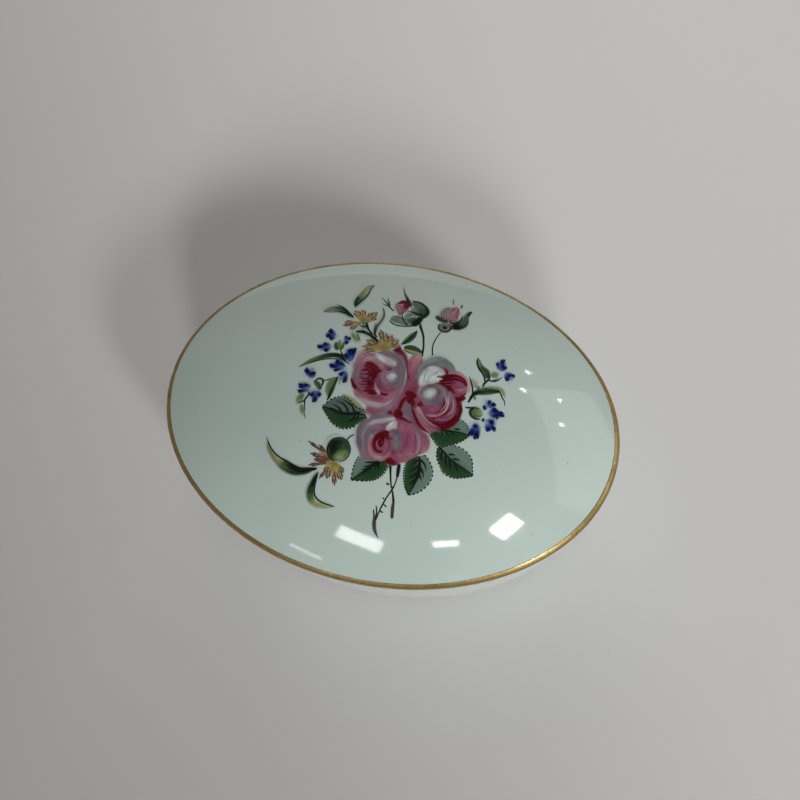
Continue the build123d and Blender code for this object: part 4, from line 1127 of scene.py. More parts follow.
buds = {
    "lift": 0.006,
    "marks": [
        # stems
        ([(3.0, 14.6), (3.5, 13.6), (4.1, 12.4), (4.5, 11.0), (4.75, 9.7), (4.9, 8.0)],
         [0.6, 0.45, 0.4, 0.36, 0.34, 0.3], ["ink"], 1, 0.4),
        ([(7.0, 14.0), (6.6, 12.8), (6.3, 11.6), (6.2, 10.6), (6.35, 9.6), (6.6, 8.4)],
         [0.15, 0.2, 0.22, 0.24, 0.24, 0.3], ["ink"]),
        # the opening bud
        ([(-1.9, 18.5), (-1.5, 17.4), (-0.9, 16.4), (-0.7, 15.6)], [0.8, 1.3, 1.1, 0.5],
         ["lilac", "lilac", "mist", "mist"], 1, 0.6),
        ([(-1.5, 18.0), (-0.8, 17.2), (0.1, 16.9)], [0.7, 1.5, 0.8], ["pink", "rose", "mist"], 1, 0.6),
        ([(-1.7, 18.4), (-1.0, 18.9), (0.0, 18.7), (0.6, 18.1)], [0.4, 1.0, 1.2, 0.5],
         ["crimson", "crimson", "garnet", "crimson"], 1, 0.4),
        ([(-0.6, 18.6), (-0.2, 18.0), (0.1, 17.3)], [0.8, 1.1, 0.4], ["garnet", "crimson", "crimson"], 1,
         0.5),
        ([(-1.5, 17.7), (-1.1, 17.0), (-0.9, 16.3)], [0.2, 0.5, 0.3], ["blush", "blush", "lilac"], 0.8, 0.8),
        ([(-1.3, 18.3), (-0.8, 18.5), (-0.4, 18.4)], [0.1, 0.25, 0.1], ["rose"], 0.7, 0.7),
        # its hood of green
        ([(0.7, 19.3), (2.0, 18.7), (2.9, 17.5), (2.9, 16.2)], [0.7, 1.9, 2.3, 1.4],
         ["sageDark", "sageDark", "fern", "leaf"], 1, 0.35),
        ([(0.9, 17.9), (1.6, 17.2), (2.0, 16.2)], [0.8, 1.5, 0.9], ["sage", "sageDark", "leaf"], 0.9, 0.7),
        ([(0.5, 19.65), (1.8, 19.5), (3.0, 18.9), (3.75, 18.0), (3.85, 17.2), (3.3, 16.3), (3.0, 15.4)],
         [0.2, 0.35, 0.35, 0.4, 0.4, 0.5, 0.5], ["ink"], 1, 0.4),
        ([(2.5, 18.6), (3.1, 18.0), (3.3, 17.2)], [0.1, 0.3, 0.1], ["sageDark", "fern", "leaf"], 0.7, 0.8),
        ([(0.3, 17.0), (1.2, 16.9), (2.2, 16.7), (3.0, 16.6)], [0.12, 0.4, 0.5, 0.4], ["ink"], 0.95, 0.5),
        # its lower sepals
        ([(0.2, 15.5), (0.8, 16.2), (1.3, 16.5)], [0.8, 1.2, 0.6], ["sage", "sage", "sageDark"], 1, 0.6),
        ([(-2.1, 14.6), (-1.0, 14.6), (0.3, 14.5), (1.4, 14.6)], [0.6, 1.4, 1.5, 0.9],
         ["sage", "sage", "sage", "sageDark"], 1, 0.3),
        ([(0.9, 15.2), (1.8, 15.1), (2.5, 15.4)], [0.8, 1.7, 1.2], ["sageDark", "leaf", "ink"], 0.95, 0.6),
        ([(1.6, 14.3), (2.4, 14.7), (2.8, 15.8)], [0.6, 1.2, 1.1], ["ink"], 1, 0.5),
        ([(-2.2, 15.1), (-1.3, 15.35), (-0.5, 15.2)], [0.08, 0.2, 0.1], ["ink"]),
        ([(-2.3, 14.3), (-1.8, 13.75), (-0.8, 13.4), (0.4, 13.45), (1.5, 13.75), (2.6, 14.1)],
         [0.1, 0.28, 0.28, 0.26, 0.35, 0.4], ["ink"], 1, 0.4),
        ([(-0.4, 16.0), (-0.2, 15.2), (0.3, 14.4), (1.0, 13.9)], [0.1, 0.2, 0.25, 0.3], ["ink"]),
        ([(-0.6, 16.35), (-0.3, 16.3)], [0.3, 0.25], ["ink"]),
        # spikes and twigs
        ([(0.2, 19.0), (-0.4, 19.8), (-1.0, 20.7), (-1.5, 21.8), (-1.9, 23.0)], [0.6, 0.6, 0.5, 0.3, 0.06],
         ["crimson", "ink", "sageDark", "sageDark", "sage"], 0.95, 0.5),
        ([(-0.3, 19.5), (-0.8, 20.3), (-1.2, 21.2)], [0.3, 0.25, 0.05], ["ink"], 0.9, 0.5),
        ([(-2.1, 16.4), (-2.8, 17.0), (-3.3, 17.5), (-4.0, 18.3), (-5.2, 19.3)],
         [0.22, 0.3, 0.32, 0.25, 0.06], ["ink"], 0.95, 0.5),
        ([(-3.1, 17.6), (-3.5, 18.4), (-4.0, 19.5)], [0.35, 0.28, 0.06], ["ink", "ink", "sageDark"], 0.9,
         0.5),
        ([(-3.0, 17.2), (-3.8, 17.5), (-4.6, 17.8)], [0.3, 0.25, 0.06], ["ink", "ink", "sageDark"], 0.9, 0.5),
        # the closed bud
        ([(7.7, 19.7), (6.9, 18.9), (6.6, 17.8), (7.0, 16.8)], [0.6, 1.5, 1.6, 0.9],
         ["haze", "haze", "haze", "mist"], 0.95, 0.7),
        ([(8.6, 20.2), (8.3, 19.0), (8.1, 17.7), (8.2, 16.3)], [0.7, 2.0, 2.3, 1.3],
         ["mist", "pink", "pink", "blush"], 1, 0.55),
        ([(7.6, 19.4), (7.4, 18.2), (7.6, 17.0)], [0.4, 0.8, 0.4], ["mist", "lilac", "pink"], 0.8, 0.8),
        ([(8.9, 19.9), (8.9, 18.8), (9.0, 17.8), (9.2, 17.0)], [0.4, 0.5, 0.4, 0.15],
         ["rose", "rose", "deepRose", "rose"], 0.8, 0.8),
        ([(8.2, 19.0), (8.1, 18.0)], [0.4, 0.6], ["blush"], 0.6, 0.9),
        ([(7.2, 17.0), (8.2, 16.6), (9.3, 16.9)], [0.9, 1.5, 0.9], ["mist", "haze", "mist"], 0.95, 0.8),
        ([(11.2, 20.0), (10.8, 19.2), (10.5, 18.0), (10.4, 16.8), (9.6, 15.9), (8.7, 15.4)],
         [0.2, 0.8, 1.0, 1.5, 1.7, 1.0],
         ["ink", "sageDark", "sageDark", "sageDark", "ink", "ink"], 1, 0.4),
        ([(11.3, 19.95), (11.0, 19.4), (10.75, 18.7)], [0.25, 0.4, 0.3], ["ink"], 0.95, 0.5),
        ([(10.9, 18.4), (11.0, 17.2), (10.6, 16.0), (9.6, 15.3), (8.5, 15.0)], [0.1, 0.3, 0.4, 0.5, 0.4],
         ["ink"], 0.85, 0.6),
        ([(9.9, 18.6), (9.7, 17.3), (9.0, 16.3), (8.2, 16.2)], [0.12, 0.4, 0.5, 0.4], ["ink"], 0.95, 0.6),
        ([(10.3, 18.6), (10.4, 17.6), (10.1, 16.6)], [0.3, 0.5, 0.4], ["fern", "fern", "leaf"], 0.7, 0.8),
        ([(5.4, 17.3), (5.8, 16.7), (6.6, 16.3), (7.6, 16.3)], [0.2, 0.8, 0.8, 0.5], ["ink"], 0.95, 0.6),
        ([(5.8, 17.5), (5.9, 17.0), (6.2, 16.6)], [0.06, 0.2, 0.3], ["ink"]),
        ([(6.3, 17.5), (6.3, 17.0), (6.5, 16.6)], [0.06, 0.2, 0.3], ["ink"]),
        ([(6.8, 17.2), (6.8, 16.8), (6.9, 16.4)], [0.06, 0.2, 0.3], ["ink"]),
        ([(7.3, 16.9), (7.3, 16.5)], [0.1, 0.3], ["ink"]),
        ([(8.0, 16.8), (8.1, 16.4)], [0.1, 0.3], ["ink"]),
        ([(7.5, 22.2), (7.6, 21.5), (7.8, 20.6)], [0.06, 0.22, 0.18], ["ink", "ink", "sageDark"], 0.85, 0.5),
        ([(9.3, 21.1), (9.3, 20.6), (9.2, 20.1)], [0.35, 0.35, 0.15], ["sageDark", "ink", "mist"], 0.9, 0.5),
    ],
    "hip": {"centre": (7.35, 15.0), "size": 1.08},
    "leaflets": [
        {"spine": [(0.9, 9.5), (1.7, 10.9), (2.4, 12.1), (2.85, 13.1)],
         "left": [(0.8, 9.8), (1.2, 11.0), (2.0, 12.3), (2.8, 13.0)],
         "right": [(1.3, 9.7), (2.3, 10.5), (2.9, 11.7), (2.95, 13.0)], "tints": ("moss", "leaf")},
        {"spine": [(1.5, 9.0), (2.6, 9.0), (3.7, 8.9), (4.7, 8.6)],
         "left": [(1.5, 9.4), (2.4, 9.9), (3.6, 9.8), (4.6, 9.2)],
         "right": [(1.6, 8.8), (2.4, 8.3), (3.5, 8.1), (4.6, 8.3)], "tints": ("fern", "olive")},
    ],
}


def paintMarks(name, c, surface):
    art = newPainting(c["lift"])
    for mark in c["marks"]:
        brush(art, *mark)
    return finishPainting(name, art, surface)


def leaflet(art, c):
    between(art, c["spine"], c["left"], [(c["tints"][0],) * 2], 1, 0.15)
    between(art, c["spine"], c["right"], [(c["tints"][1],) * 2], 1, 0.15)
    brush(art, c["spine"], [0.2, 0.2, 0.16, 0.06], ["ink"], 0.8, 0.6)
    brush(art, c["right"], [0.15, 0.2, 0.2, 0.12], ["ink"], 0.9, 0.5)


def paintBuds(surface):
    art = newPainting(buds["lift"])
    for c in buds["leaflets"]:
        leaflet(art, c)
    for mark in buds["marks"]:
        brush(art, *mark)
    x, y = buds["hip"]["centre"]
    size = buds["hip"]["size"]
    spot(art, (x, y), size, ("sageDark", "haze", "sage"), 1, 0.15)
    spot(art, (x + 0.05, y - 0.1), size * 0.5, ("ink", "ink", "sageDark"), 1, 0.5)
    angles = [math.radians(degrees) for degrees in range(150, 421, 30)]
    ring = [(x + size * math.cos(a), y + size * math.sin(a)) for a in angles]
    brush(art, ring, [0.2, 0.3, 0.32, 0.3, 0.2], ["ink"], 1, 0.45)
    return finishPainting("rosebuds", art, surface)


# Blue florets: "root" is the pale throat, each petal fans out from it to a dark notched end
florets = {
    "upper": [
        {"root": (-10.6, 8.9), "petals": [((-12.0, 10.2), 0.8), ((-12.2, 9.1), 0.8), ((-11.4, 8.5), 0.8)]},
        {"root": (-9.0, 8.6), "petals": [((-8.1, 9.1), 0.6), ((-8.3, 8.0), 0.7), ((-8.8, 9.4), 0.4)]},
        {"root": (-10.9, 6.9), "petals": [((-12.2, 7.3), 0.7), ((-13.1, 6.6), 0.7), ((-11.7, 6.0), 0.8)]},
        {"root": (-6.7, 4.4), "petals": [((-7.5, 6.7), 0.7), ((-6.8, 7.0), 0.9), ((-8.0, 5.8), 0.6)]},
        {"root": (-7.3, 3.4),
         "petals": [((-9.9, 3.3), 0.8), ((-9.1, 4.2), 0.8), ((-8.2, 4.0), 0.5), ((-9.0, 2.5), 0.5)]},
        {"root": (-7.0, 2.8), "petals": [((-7.9, 1.9), 0.7), ((-6.8, 0.8), 0.7)]},
    ],
    "lower": [
        {"root": (-12.4, 0.5), "petals": [((-14.0, 1.9), 0.8), ((-12.9, 1.4), 0.7), ((-12.4, 1.6), 0.5)]},
        {"root": (-12.3, -1.0), "petals": [((-14.3, -1.1), 0.9), ((-13.4, -0.8), 0.5)]},
        {"root": (-12.4, -1.6), "petals": [((-14.2, -2.1), 0.6)]},
        {"root": (-11.2, -1.5), "petals": [((-11.9, -2.5), 0.7), ((-11.1, -3.4), 0.8), ((-10.4, -2.3), 0.7)]},
    ],
    "right": [
        {"root": (18.1, 8.8), "petals": [((18.4, 11.1), 0.7), ((17.5, 10.2), 0.5), ((18.9, 9.9), 0.9)]},
        {"root": (19.2, 8.9), "petals": [((20.7, 8.6), 0.6), ((19.7, 7.5), 0.7), ((20.0, 8.3), 0.6)]},
        {"root": (17.4, 1.6), "petals": [((18.4, 2.5), 0.7), ((16.8, 1.4), 0.8), ((17.5, 2.8), 0.5)]},
        {"root": (17.7, 0.6), "petals": [((18.8, 1.6), 0.9), ((20.0, 1.1), 0.9), ((19.2, 0.4), 0.9)]},
        {"root": (17.4, -0.8), "petals": [((18.7, -0.7), 0.8), ((19.2, -1.8), 0.7), ((17.0, -0.7), 0.6)]},
        {"root": (17.8, -1.0), "petals": [((18.2, -2.2), 0.8)]},
        {"root": (16.3, -1.5), "petals": [((15.5, -3.6), 0.8), ((16.5, -3.9), 0.9), ((16.0, -2.2), 0.8)]},
    ],
}

sprays = {
    "left": {
        "lift": 0.006,
        "haloes": [((-10.6, 9.2), 1.0), ((-11.0, 7.0), 0.9), ((-6.8, 4.6), 0.9), ((-7.4, 3.2), 0.9),
                   ((-12.8, 0.9), 1.0),
                   ((-12.7, -1.1), 0.8), ((-11.2, -1.9), 0.8), ((-8.6, 8.6), 0.8)],
        "marks": [
            # the long blade and the smaller leaves
            ([(-15.3, 2.5), (-13.4, 3.9), (-11.5, 4.9), (-9.8, 5.4), (-8.6, 5.2), (-7.6, 4.6)],
             [0.25, 0.8, 0.95, 0.9, 0.7, 0.3],
             [("paleGreen", "moss"), ("moss", "fern"), ("fern", "leaf"), ("leaf", "ink"), ("leaf", "ink"),
              ("ink",)], 1, 0.4),
            ([(-15.5, 2.3), (-13.8, 3.2), (-12.0, 4.1), (-10.2, 4.6), (-8.6, 4.7), (-6.9, 4.15)],
             [0.12, 0.18, 0.2, 0.22, 0.28, 0.15], ["ink"]),
            ([(-11.4, 5.3), (-10.2, 5.6), (-9.0, 5.7), (-8.2, 5.2)], [0.08, 0.2, 0.25, 0.2], ["ink"]),
            ([(-9.3, 7.0), (-8.9, 6.2), (-8.3, 5.5), (-7.9, 5.0)], [0.15, 0.22, 0.3, 0.3], ["ink"]),
            ([(-10.2, 7.9), (-10.0, 7.1), (-9.6, 6.5)], [0.5, 0.9, 0.5], ["fern", "fern", "leaf"], 1, 0.5),
            ([(-9.8, 8.2), (-9.4, 7.4), (-9.3, 6.7)], [0.5, 0.9, 0.5], ["moss", "moss", "leaf"], 1, 0.6),
            ([(-9.0, 8.1), (-8.8, 7.3), (-9.1, 6.6)], [0.2, 0.45, 0.3], ["fern", "ink", "ink"], 0.9, 0.6),
            ([(-10.1, 8.4), (-9.7, 8.45), (-9.3, 8.1)], [0.08, 0.14, 0.08], ["ink"], 0.8, 0.5),
            ([(-12.0, 0.0), (-11.4, -0.3), (-10.8, -0.9), (-10.7, -1.3)], [0.5, 0.9, 0.9, 0.4],
             ["moss", "fern", "fern", "leaf"], 1, 0.5),
            ([(-12.0, -0.1), (-11.6, 0.5), (-11.0, 0.7), (-10.5, 0.3), (-10.5, -0.6)],
             [0.25, 0.35, 0.4, 0.45, 0.25], ["ink"], 0.95, 0.5),
            ([(-10.6, 0.35), (-9.7, 0.7), (-8.8, 1.2), (-7.8, 1.5)], [0.2, 0.22, 0.24, 0.2], ["ink"]),
            ([(-8.4, 1.3), (-9.2, 0.2), (-9.3, -1.1), (-8.9, -2.4)], [0.4, 1.0, 0.9, 0.2], ["moss"], 1, 0.5),
            ([(-8.0, 1.0), (-7.6, 0.5), (-7.7, 0.1)], [0.3, 0.6, 0.2], ["paleGreen", "olive", "paleGreen"],
             0.8, 0.8),
            ([(-8.2, 1.4), (-8.4, 0.2), (-8.6, -1.0), (-8.8, -2.2), (-9.0, -3.0)],
             [0.3, 0.55, 0.75, 0.5, 0.12], ["ink", "leaf", "leaf", "ink", "ink"], 1, 0.5),
            ([(-12.4, -1.6), (-12.4, -2.5), (-12.8, -3.4), (-12.6, -4.4), (-12.3, -5.6), (-11.9, -6.6)],
             [0.25, 0.3, 0.35, 0.22, 0.2, 0.1], ["ink"]),
            ([(-13.3, -2.5), (-13.8, -3.3), (-14.0, -4.4)], [0.7, 1.3, 0.4], ["moss", "moss", "paleGreen"], 1,
             0.6),
            ([(-13.9, -4.2), (-13.4, -3.9), (-12.8, -3.5)], [0.12, 0.26, 0.25], ["ink"]),
            ([(-13.3, -4.2), (-12.9, -5.1), (-12.4, -6.2)], [0.4, 1.0, 0.3], ["olive", "moss", "paleGreen"],
             0.9, 0.7),
            ([(-14.2, -2.1), (-13.5, -2.0), (-12.8, -1.8), (-12.4, -1.6)], [0.4, 0.4, 0.28, 0.3],
             ["navy", "navy", "ink", "ink"], 1, 0.4),
        ],
        "florets": ["upper", "lower"],
    },
    "right": {
        "lift": 0.006,
        "haloes": [((18.2, 9.3), 0.9), ((19.6, 8.4), 0.9), ((20.1, 7.1), 0.6), ((17.6, 1.8), 0.9),
                   ((17.8, 0.6), 0.8),
                   ((18.2, -1.4), 0.9), ((16.6, -2.4), 0.9)],
        "marks": [
            ([(14.2, 10.2), (14.5, 9.3), (15.2, 8.4), (16.0, 7.9), (16.5, 7.0)],
             [0.24, 0.85, 1.1, 1.22, 0.85],
             ["moss", "moss", "fern", "fern", "leaf"], 1, 0.4),
            ([(14.1, 10.3), (14.15, 9.3), (14.7, 8.2), (15.5, 7.4), (16.0, 6.5), (16.1, 5.7), (15.8, 5.1)],
             [0.15, 0.32, 0.32, 0.32, 0.34, 0.37, 0.24], ["ink"]),
            ([(16.7, 7.3), (16.7, 6.8), (16.3, 6.1), (15.9, 5.5)], [0.15, 0.3, 0.37, 0.37], ["ink"]),
            ([(17.0, 7.5), (17.5, 7.9), (17.9, 8.4)], [0.85, 1.34, 0.73], ["moss", "moss", "paleGreen"], 1,
             0.7),
            ([(18.7, 7.8), (18.2, 7.0), (17.5, 6.6), (16.7, 6.5)], [0.12, 0.27, 0.37, 0.3], ["ink"]),
            ([(18.2, 7.6), (17.8, 7.0), (17.3, 6.8)], [0.1, 0.18, 0.12], ["ink"], 0.8, 0.5),
            ([(14.1, 1.6), (14.5, 2.9), (15.1, 3.7), (16.2, 4.2), (17.6, 4.7), (18.8, 5.0)],
             [0.3, 0.49, 0.85, 0.98, 0.92, 0.43],
             ["leaf", "ink", "ink", "leaf", "leaf", "ink"], 1, 0.4),
            ([(15.4, 4.5), (16.8, 5.1), (18.3, 5.5), (19.3, 5.2), (19.8, 4.2)],
             [0.37, 0.61, 0.67, 0.73, 0.37], ["fern", "moss", "olive", "olive", "paleGreen"], 0.95, 0.7),
            ([(15.7, 3.6), (16.8, 4.0), (17.9, 4.3)], [0.37, 0.49, 0.18], ["leaf", "fern", "fern"], 0.8, 0.7),
            ([(18.6, 5.1), (19.1, 4.6), (19.5, 3.9), (19.9, 3.5), (20.1, 2.6)],
             [0.37, 0.27, 0.24, 0.24, 0.07], ["ink"]),
            ([(16.0, 4.7), (17.2, 5.0), (18.6, 5.15)], [0.12, 0.2, 0.12], ["ink"], 0.8, 0.5),
            ([(14.0, 5.9), (14.5, 5.4), (14.8, 4.6)], [0.61, 1.1, 0.61], ["paleGreen", "olive", "umber"], 0.9,
             0.7),
            ([(15.1, 5.0), (15.3, 4.5), (15.2, 3.9)], [0.37, 0.61, 0.49], ["umber", "leaf", "ink"], 0.8, 0.7),
            ([(13.4, 6.3), (13.8, 5.5), (14.2, 4.6), (14.5, 3.6), (14.6, 3.0)],
             [0.15, 0.29, 0.29, 0.37, 0.37], ["ink"]),
            ([(15.0, 2.9), (15.0, 2.4)], [0.43, 0.37], ["umber"], 0.9, 0.6),
            ([(13.8, 0.65), (14.4, 0.75), (15.0, 0.9)], [0.22, 0.37, 0.43], ["ink"]),
            ([(14.9, 0.4), (15.7, 0.3), (16.6, 0.3)], [1.1, 1.95, 1.22], ["fern", "moss", "olive"], 1, 0.5),
            ([(15.2, 1.0), (14.7, 0.4), (14.9, -0.4), (15.7, -0.8), (16.6, -0.7)],
             [0.43, 0.49, 0.49, 0.43, 0.18], ["ink"], 0.95, 0.5),
            ([(15.2, 1.0), (15.8, 1.05), (16.1, 0.9)], [0.24, 0.3, 0.12], ["ink"], 0.85, 0.6),
            ([(15.4, -0.3), (16.0, -0.4), (16.7, -0.3)], [0.18, 0.24, 0.1], ["ink"], 0.75, 0.6),
        ],
        "florets": ["right"],
    },
}


def floret(art, c):
    root = Vector(c["root"])
    tips = [(root.lerp(Vector(place), 1.08), size * 1.15) for place, size in c["petals"]]
    middle = sum((tip for tip, _ in tips), Vector((0, 0))) / len(tips)
    spread = max([(tip - middle).length for tip, _ in tips] + [0.35])
    brush(art, [root, root.lerp(middle, 0.5), root.lerp(middle, 0.95)], [0.7, spread * 1.6, spread * 2.2],
          ["paleBlue", "sky", "blue"], 0.8, 0.6)
    for tip, size in tips:
        brush(art, [root.lerp(tip, 0.15), root.lerp(tip, 0.6), root.lerp(tip, 0.95)],
              [size * 0.5, size * 1.1, size * 0.95],
              ["sky", "blue", "blue"], 0.9, 0.5)
    # two darker lobes at the end of each petal
    for tip, size in tips:
        side = (tip - root).normalized() * size
        side = Vector((-side.y, side.x)) * 0.24
        for k, reach in ((-1, 1.02), (1, 0.94)):
            end = root.lerp(tip, reach) + side * k
            start = root.lerp(tip, 0.45) + side * k * 0.4
            brush(art, [start, start.lerp(end, 0.6), end], [size * 0.2, size * 0.5, size * 0.5],
                  ["blue", "navy", "navy"], 1, 0.35)


def paintSpray(name, c, surface):
    art = newPainting(c["lift"])
    for centre, size in c["haloes"]:
        spot(art, centre, size, ("paleBlue", "paleBlue", "bare"), 0.5, 0.9)
    for mark in c["marks"]:
        brush(art, *mark)
    for group in c["florets"]:
        for one in florets[group]:
            floret(art, one)
    return finishPainting(name, art, surface)


yellowFlowers = {
    "lift": 0.006,
    # jagged petals: (root, tip, width)
    "petals": [
        ((-6.9, 13.1), (-8.9, 15.2), 1.3), ((-6.8, 13.3), (-7.6, 15.6), 1.4), ((-6.3, 13.4), (-5.9, 15.2),
                                                                               0.8),
        ((-6.1, 13.2), (-4.9, 15.6), 1.1), ((-5.9, 13.0), (-4.7, 14.4), 0.9), ((-7.1, 12.6), (-10.0, 12.3),
                                                                               0.9),
        ((-7.1, 12.4), (-8.6, 10.9), 0.9), ((-7.2, 12.6), (-10.1, 11.5), 0.6),
        ((-1.9, 8.0), (-5.4, 7.9), 1.1), ((-1.9, 8.2), (-5.2, 9.2), 1.0), ((-1.9, 8.4), (-3.3, 11.8), 1.0),
        ((-1.8, 8.4), (-2.2, 11.3), 1.0), ((-1.6, 8.4), (-1.0, 11.1), 1.1), ((-1.4, 8.3), (0.3, 10.4), 1.1),
        ((-2.0, 8.2), (-4.4, 9.8), 0.7), ((-2.0, 7.8), (-5.1, 7.0), 0.9), ((-1.2, 8.3), (0.6, 9.4), 0.9),
    ],
    "marks": [
        ([(-6.9, 13.3), (-6.5, 12.7), (-6.1, 12.4)], [0.5, 1.0, 0.6], ["moss", "moss", "fern"], 1, 0.6),
        ([(-7.0, 12.0), (-6.3, 11.9), (-5.7, 11.9)], [0.2, 0.5, 0.5], ["leaf", "ink", "ink"], 0.95, 0.5),
        ([(-6.1, 13.0), (-5.8, 12.2), (-5.4, 11.5), (-4.8, 10.9), (-4.2, 10.5)], [0.15, 0.5, 0.4, 0.35, 0.3],
         ["ink"], 1, 0.4),
        ([(-7.4, 10.6), (-6.3, 10.8), (-5.4, 10.6), (-4.6, 10.2), (-3.8, 9.8), (-3.0, 9.2)],
         [0.3, 0.75, 0.75, 0.5, 0.6, 0.3],
         ["ink", "ink", "leaf", "ink", "ink", "ink"], 1, 0.4),
        ([(-4.2, 16.8), (-3.7, 15.9), (-3.45, 14.8), (-3.7, 13.6), (-4.1, 12.2), (-4.0, 10.8)],
         [0.06, 0.28, 0.4, 0.4, 0.5, 0.3],
         [("leaf", "moss"), ("moss", "ink"), ("moss", "ink"), ("ink", "moss"), ("ink", "moss"),
          ("ink",)], 1, 0.4),
        ([(-4.3, 13.1), (-4.4, 12.1), (-4.2, 11.0), (-3.6, 10.2)], [0.08, 0.2, 0.28, 0.4], ["ink"]),
        ([(-7.9, 10.1), (-7.1, 9.3), (-6.4, 8.8)], [0.5, 1.0, 0.3], ["moss"], 1, 0.6),
        ([(-7.0, 10.3), (-6.6, 9.5), (-6.1, 8.8)], [0.2, 0.22, 0.1], ["ink"], 0.9, 0.5),
        ([(-9.0, 16.0), (-9.2, 17.2), (-8.9, 18.4), (-8.6, 19.4)], [0.25, 0.9, 1.1, 0.8],
         ["ink", "leaf", "leaf", "moss"], 1, 0.4),
        ([(-8.9, 18.6), (-8.5, 19.8), (-8.1, 21.0), (-7.6, 22.0)], [0.8, 1.2, 1.1, 0.4],
         ["moss", "olive", "olive", "olive"], 1, 0.5),
        ([(-8.6, 17.3), (-8.2, 18.6), (-8.1, 19.6)], [0.7, 0.8, 0.5], ["leaf", "moss", "olive"], 0.9, 0.7),
        ([(-7.25, 22.1), (-7.5, 21.0), (-7.6, 19.8), (-7.8, 18.7), (-8.3, 17.7), (-8.9, 16.4)],
         [0.2, 0.28, 0.28, 0.28, 0.35, 0.3], ["ink", "oliveDark", "ink", "ink", "ink", "ink"], 1, 0.4),
        ([(-14.4, 14.4), (-13.2, 15.0), (-11.9, 15.2), (-10.6, 14.8), (-9.6, 14.2)],
         [0.4, 0.9, 1.0, 0.8, 0.4],
         ["paleGreen", "moss", "fern", "leaf", "ink"], 1, 0.5),
        ([(-14.5, 14.15), (-13.2, 14.35), (-11.9, 14.5), (-10.5, 14.3), (-9.6, 13.9), (-8.7, 13.6)],
         [0.14, 0.22, 0.28, 0.4, 0.4, 0.3], ["ink"]),
        ([(-12.5, 15.95), (-11.4, 15.65), (-10.4, 15.0), (-9.4, 14.2), (-8.8, 13.7)],
         [0.08, 0.28, 0.3, 0.35, 0.4], ["ink"]),
    ],
}

thistle = {
    "lift": 0.006,
    "petals": [
        ((-6.2, -12.0), (-10.6, -10.1), 0.5), ((-6.3, -12.0), (-8.6, -10.4), 0.5), ((-6.3, -12.3),
                                                                                    (-9.8, -12.0), 0.6),
        ((-6.2, -12.6), (-9.0, -12.9), 0.6), ((-6.0, -12.9), (-9.7, -13.9), 0.5), ((-5.9, -13.0),
                                                                                   (-8.0, -13.2), 0.6),
        ((-5.9, -13.0), (-7.4, -15.7), 0.5), ((-5.7, -13.0), (-6.2, -15.5), 0.9), ((-5.5, -12.9),
                                                                                   (-4.6, -16.3), 0.8),
        ((-5.2, -12.9), (-3.6, -15.2), 1.1), ((-5.0, -12.8), (-3.5, -14.0), 0.8), ((-5.8, -12.9),
                                                                                   (-6.8, -14.6), 0.7),
    ],
    "before": [
        ([(-6.3, -11.6), (-7.6, -12.0), (-8.8, -12.6)], [1.6, 1.6, 0.5], ["ochre", "brown", "brown"], 0.9,
         0.7),
        ([(-5.9, -12.4), (-5.4, -13.6), (-4.8, -14.8)], [1.4, 2.0, 1.4], ["ochre", "yellow", "yellow"], 0.95,
         0.6),
        ([(-6.2, -12.8), (-6.4, -13.8), (-6.3, -14.8)], [0.8, 1.0, 0.6], ["yellow"], 0.9, 0.7),
    ],
    "marks": [
        ([(-6.2, -12.5), (-7.0, -12.4), (-7.8, -12.3)], [0.4, 0.8, 0.3], ["umber", "crimson", "umber"], 0.85,
         0.6),
        ([(-6.8, -13.0), (-7.6, -12.9), (-8.3, -12.8)], [0.15, 0.3, 0.1], ["umber"], 0.9, 0.5),
        ([(-7.2, -11.3), (-7.9, -11.2), (-8.8, -11.1)], [0.15, 0.35, 0.1], ["umber"], 0.9, 0.5),
        ([(-2.9, -7.7), (-3.5, -8.1), (-4.0, -8.7), (-4.3, -9.5)], [0.12, 0.2, 0.2, 0.25], ["ink"]),
        # the long leaf
        ([(-17.7, -11.2), (-16.9, -12.6), (-15.5, -13.9), (-13.9, -14.7), (-12.2, -15.2), (-10.5, -15.1),
          (-9.0, -14.6)],
         [0.3, 0.8, 1.0, 1.4, 1.4, 1.1, 0.6], ["olive", "olive", "olive", "oliveDark", "leaf", "leaf",
                                               "leaf"], 1, 0.5),
        ([(-14.0, -14.0), (-12.6, -14.6), (-11.2, -14.9), (-9.7, -14.7), (-8.2, -14.3)],
         [0.5, 0.7, 0.7, 0.6, 0.3], ["oliveDark", "ink", "ink", "ink", "ink"], 1, 0.5),
        ([(-18.0, -10.5), (-17.3, -11.5), (-16.4, -12.5), (-15.0, -13.4), (-13.4, -13.9), (-12.2, -14.3),
          (-11.0, -14.6), (-9.5, -14.4), (-8.0, -14.1)],
         [0.1, 0.22, 0.24, 0.28, 0.3, 0.3, 0.4, 0.35, 0.15], ["ink"], 1, 0.4),
        # the hooked leaf
        ([(-7.9, -15.0), (-8.3, -16.4), (-8.5, -17.7), (-8.3, -18.8), (-7.4, -19.6), (-6.0, -19.7),
          (-4.2, -19.55)],
         [0.3, 1.0, 1.3, 1.3, 1.1, 0.8, 0.2], ["ink", "leaf", "leaf", "oliveDark", "olive", "olive",
                                               "paleGreen"], 1, 0.45),
        ([(-7.7, -14.7), (-8.2, -15.8), (-8.3, -17.0)], [0.25, 0.7, 0.7], ["ink"], 0.9, 0.6),
        ([(-7.75, -15.2), (-7.9, -16.6), (-7.8, -17.9), (-7.3, -18.7), (-6.4, -19.15), (-5.2, -19.35),
          (-4.0, -19.5)],
         [0.15, 0.24, 0.28, 0.28, 0.26, 0.24, 0.12], ["ink"], 1, 0.4),
    ],
    "ball": {"centre": (-5.1, -10.65), "size": 1.95},
}


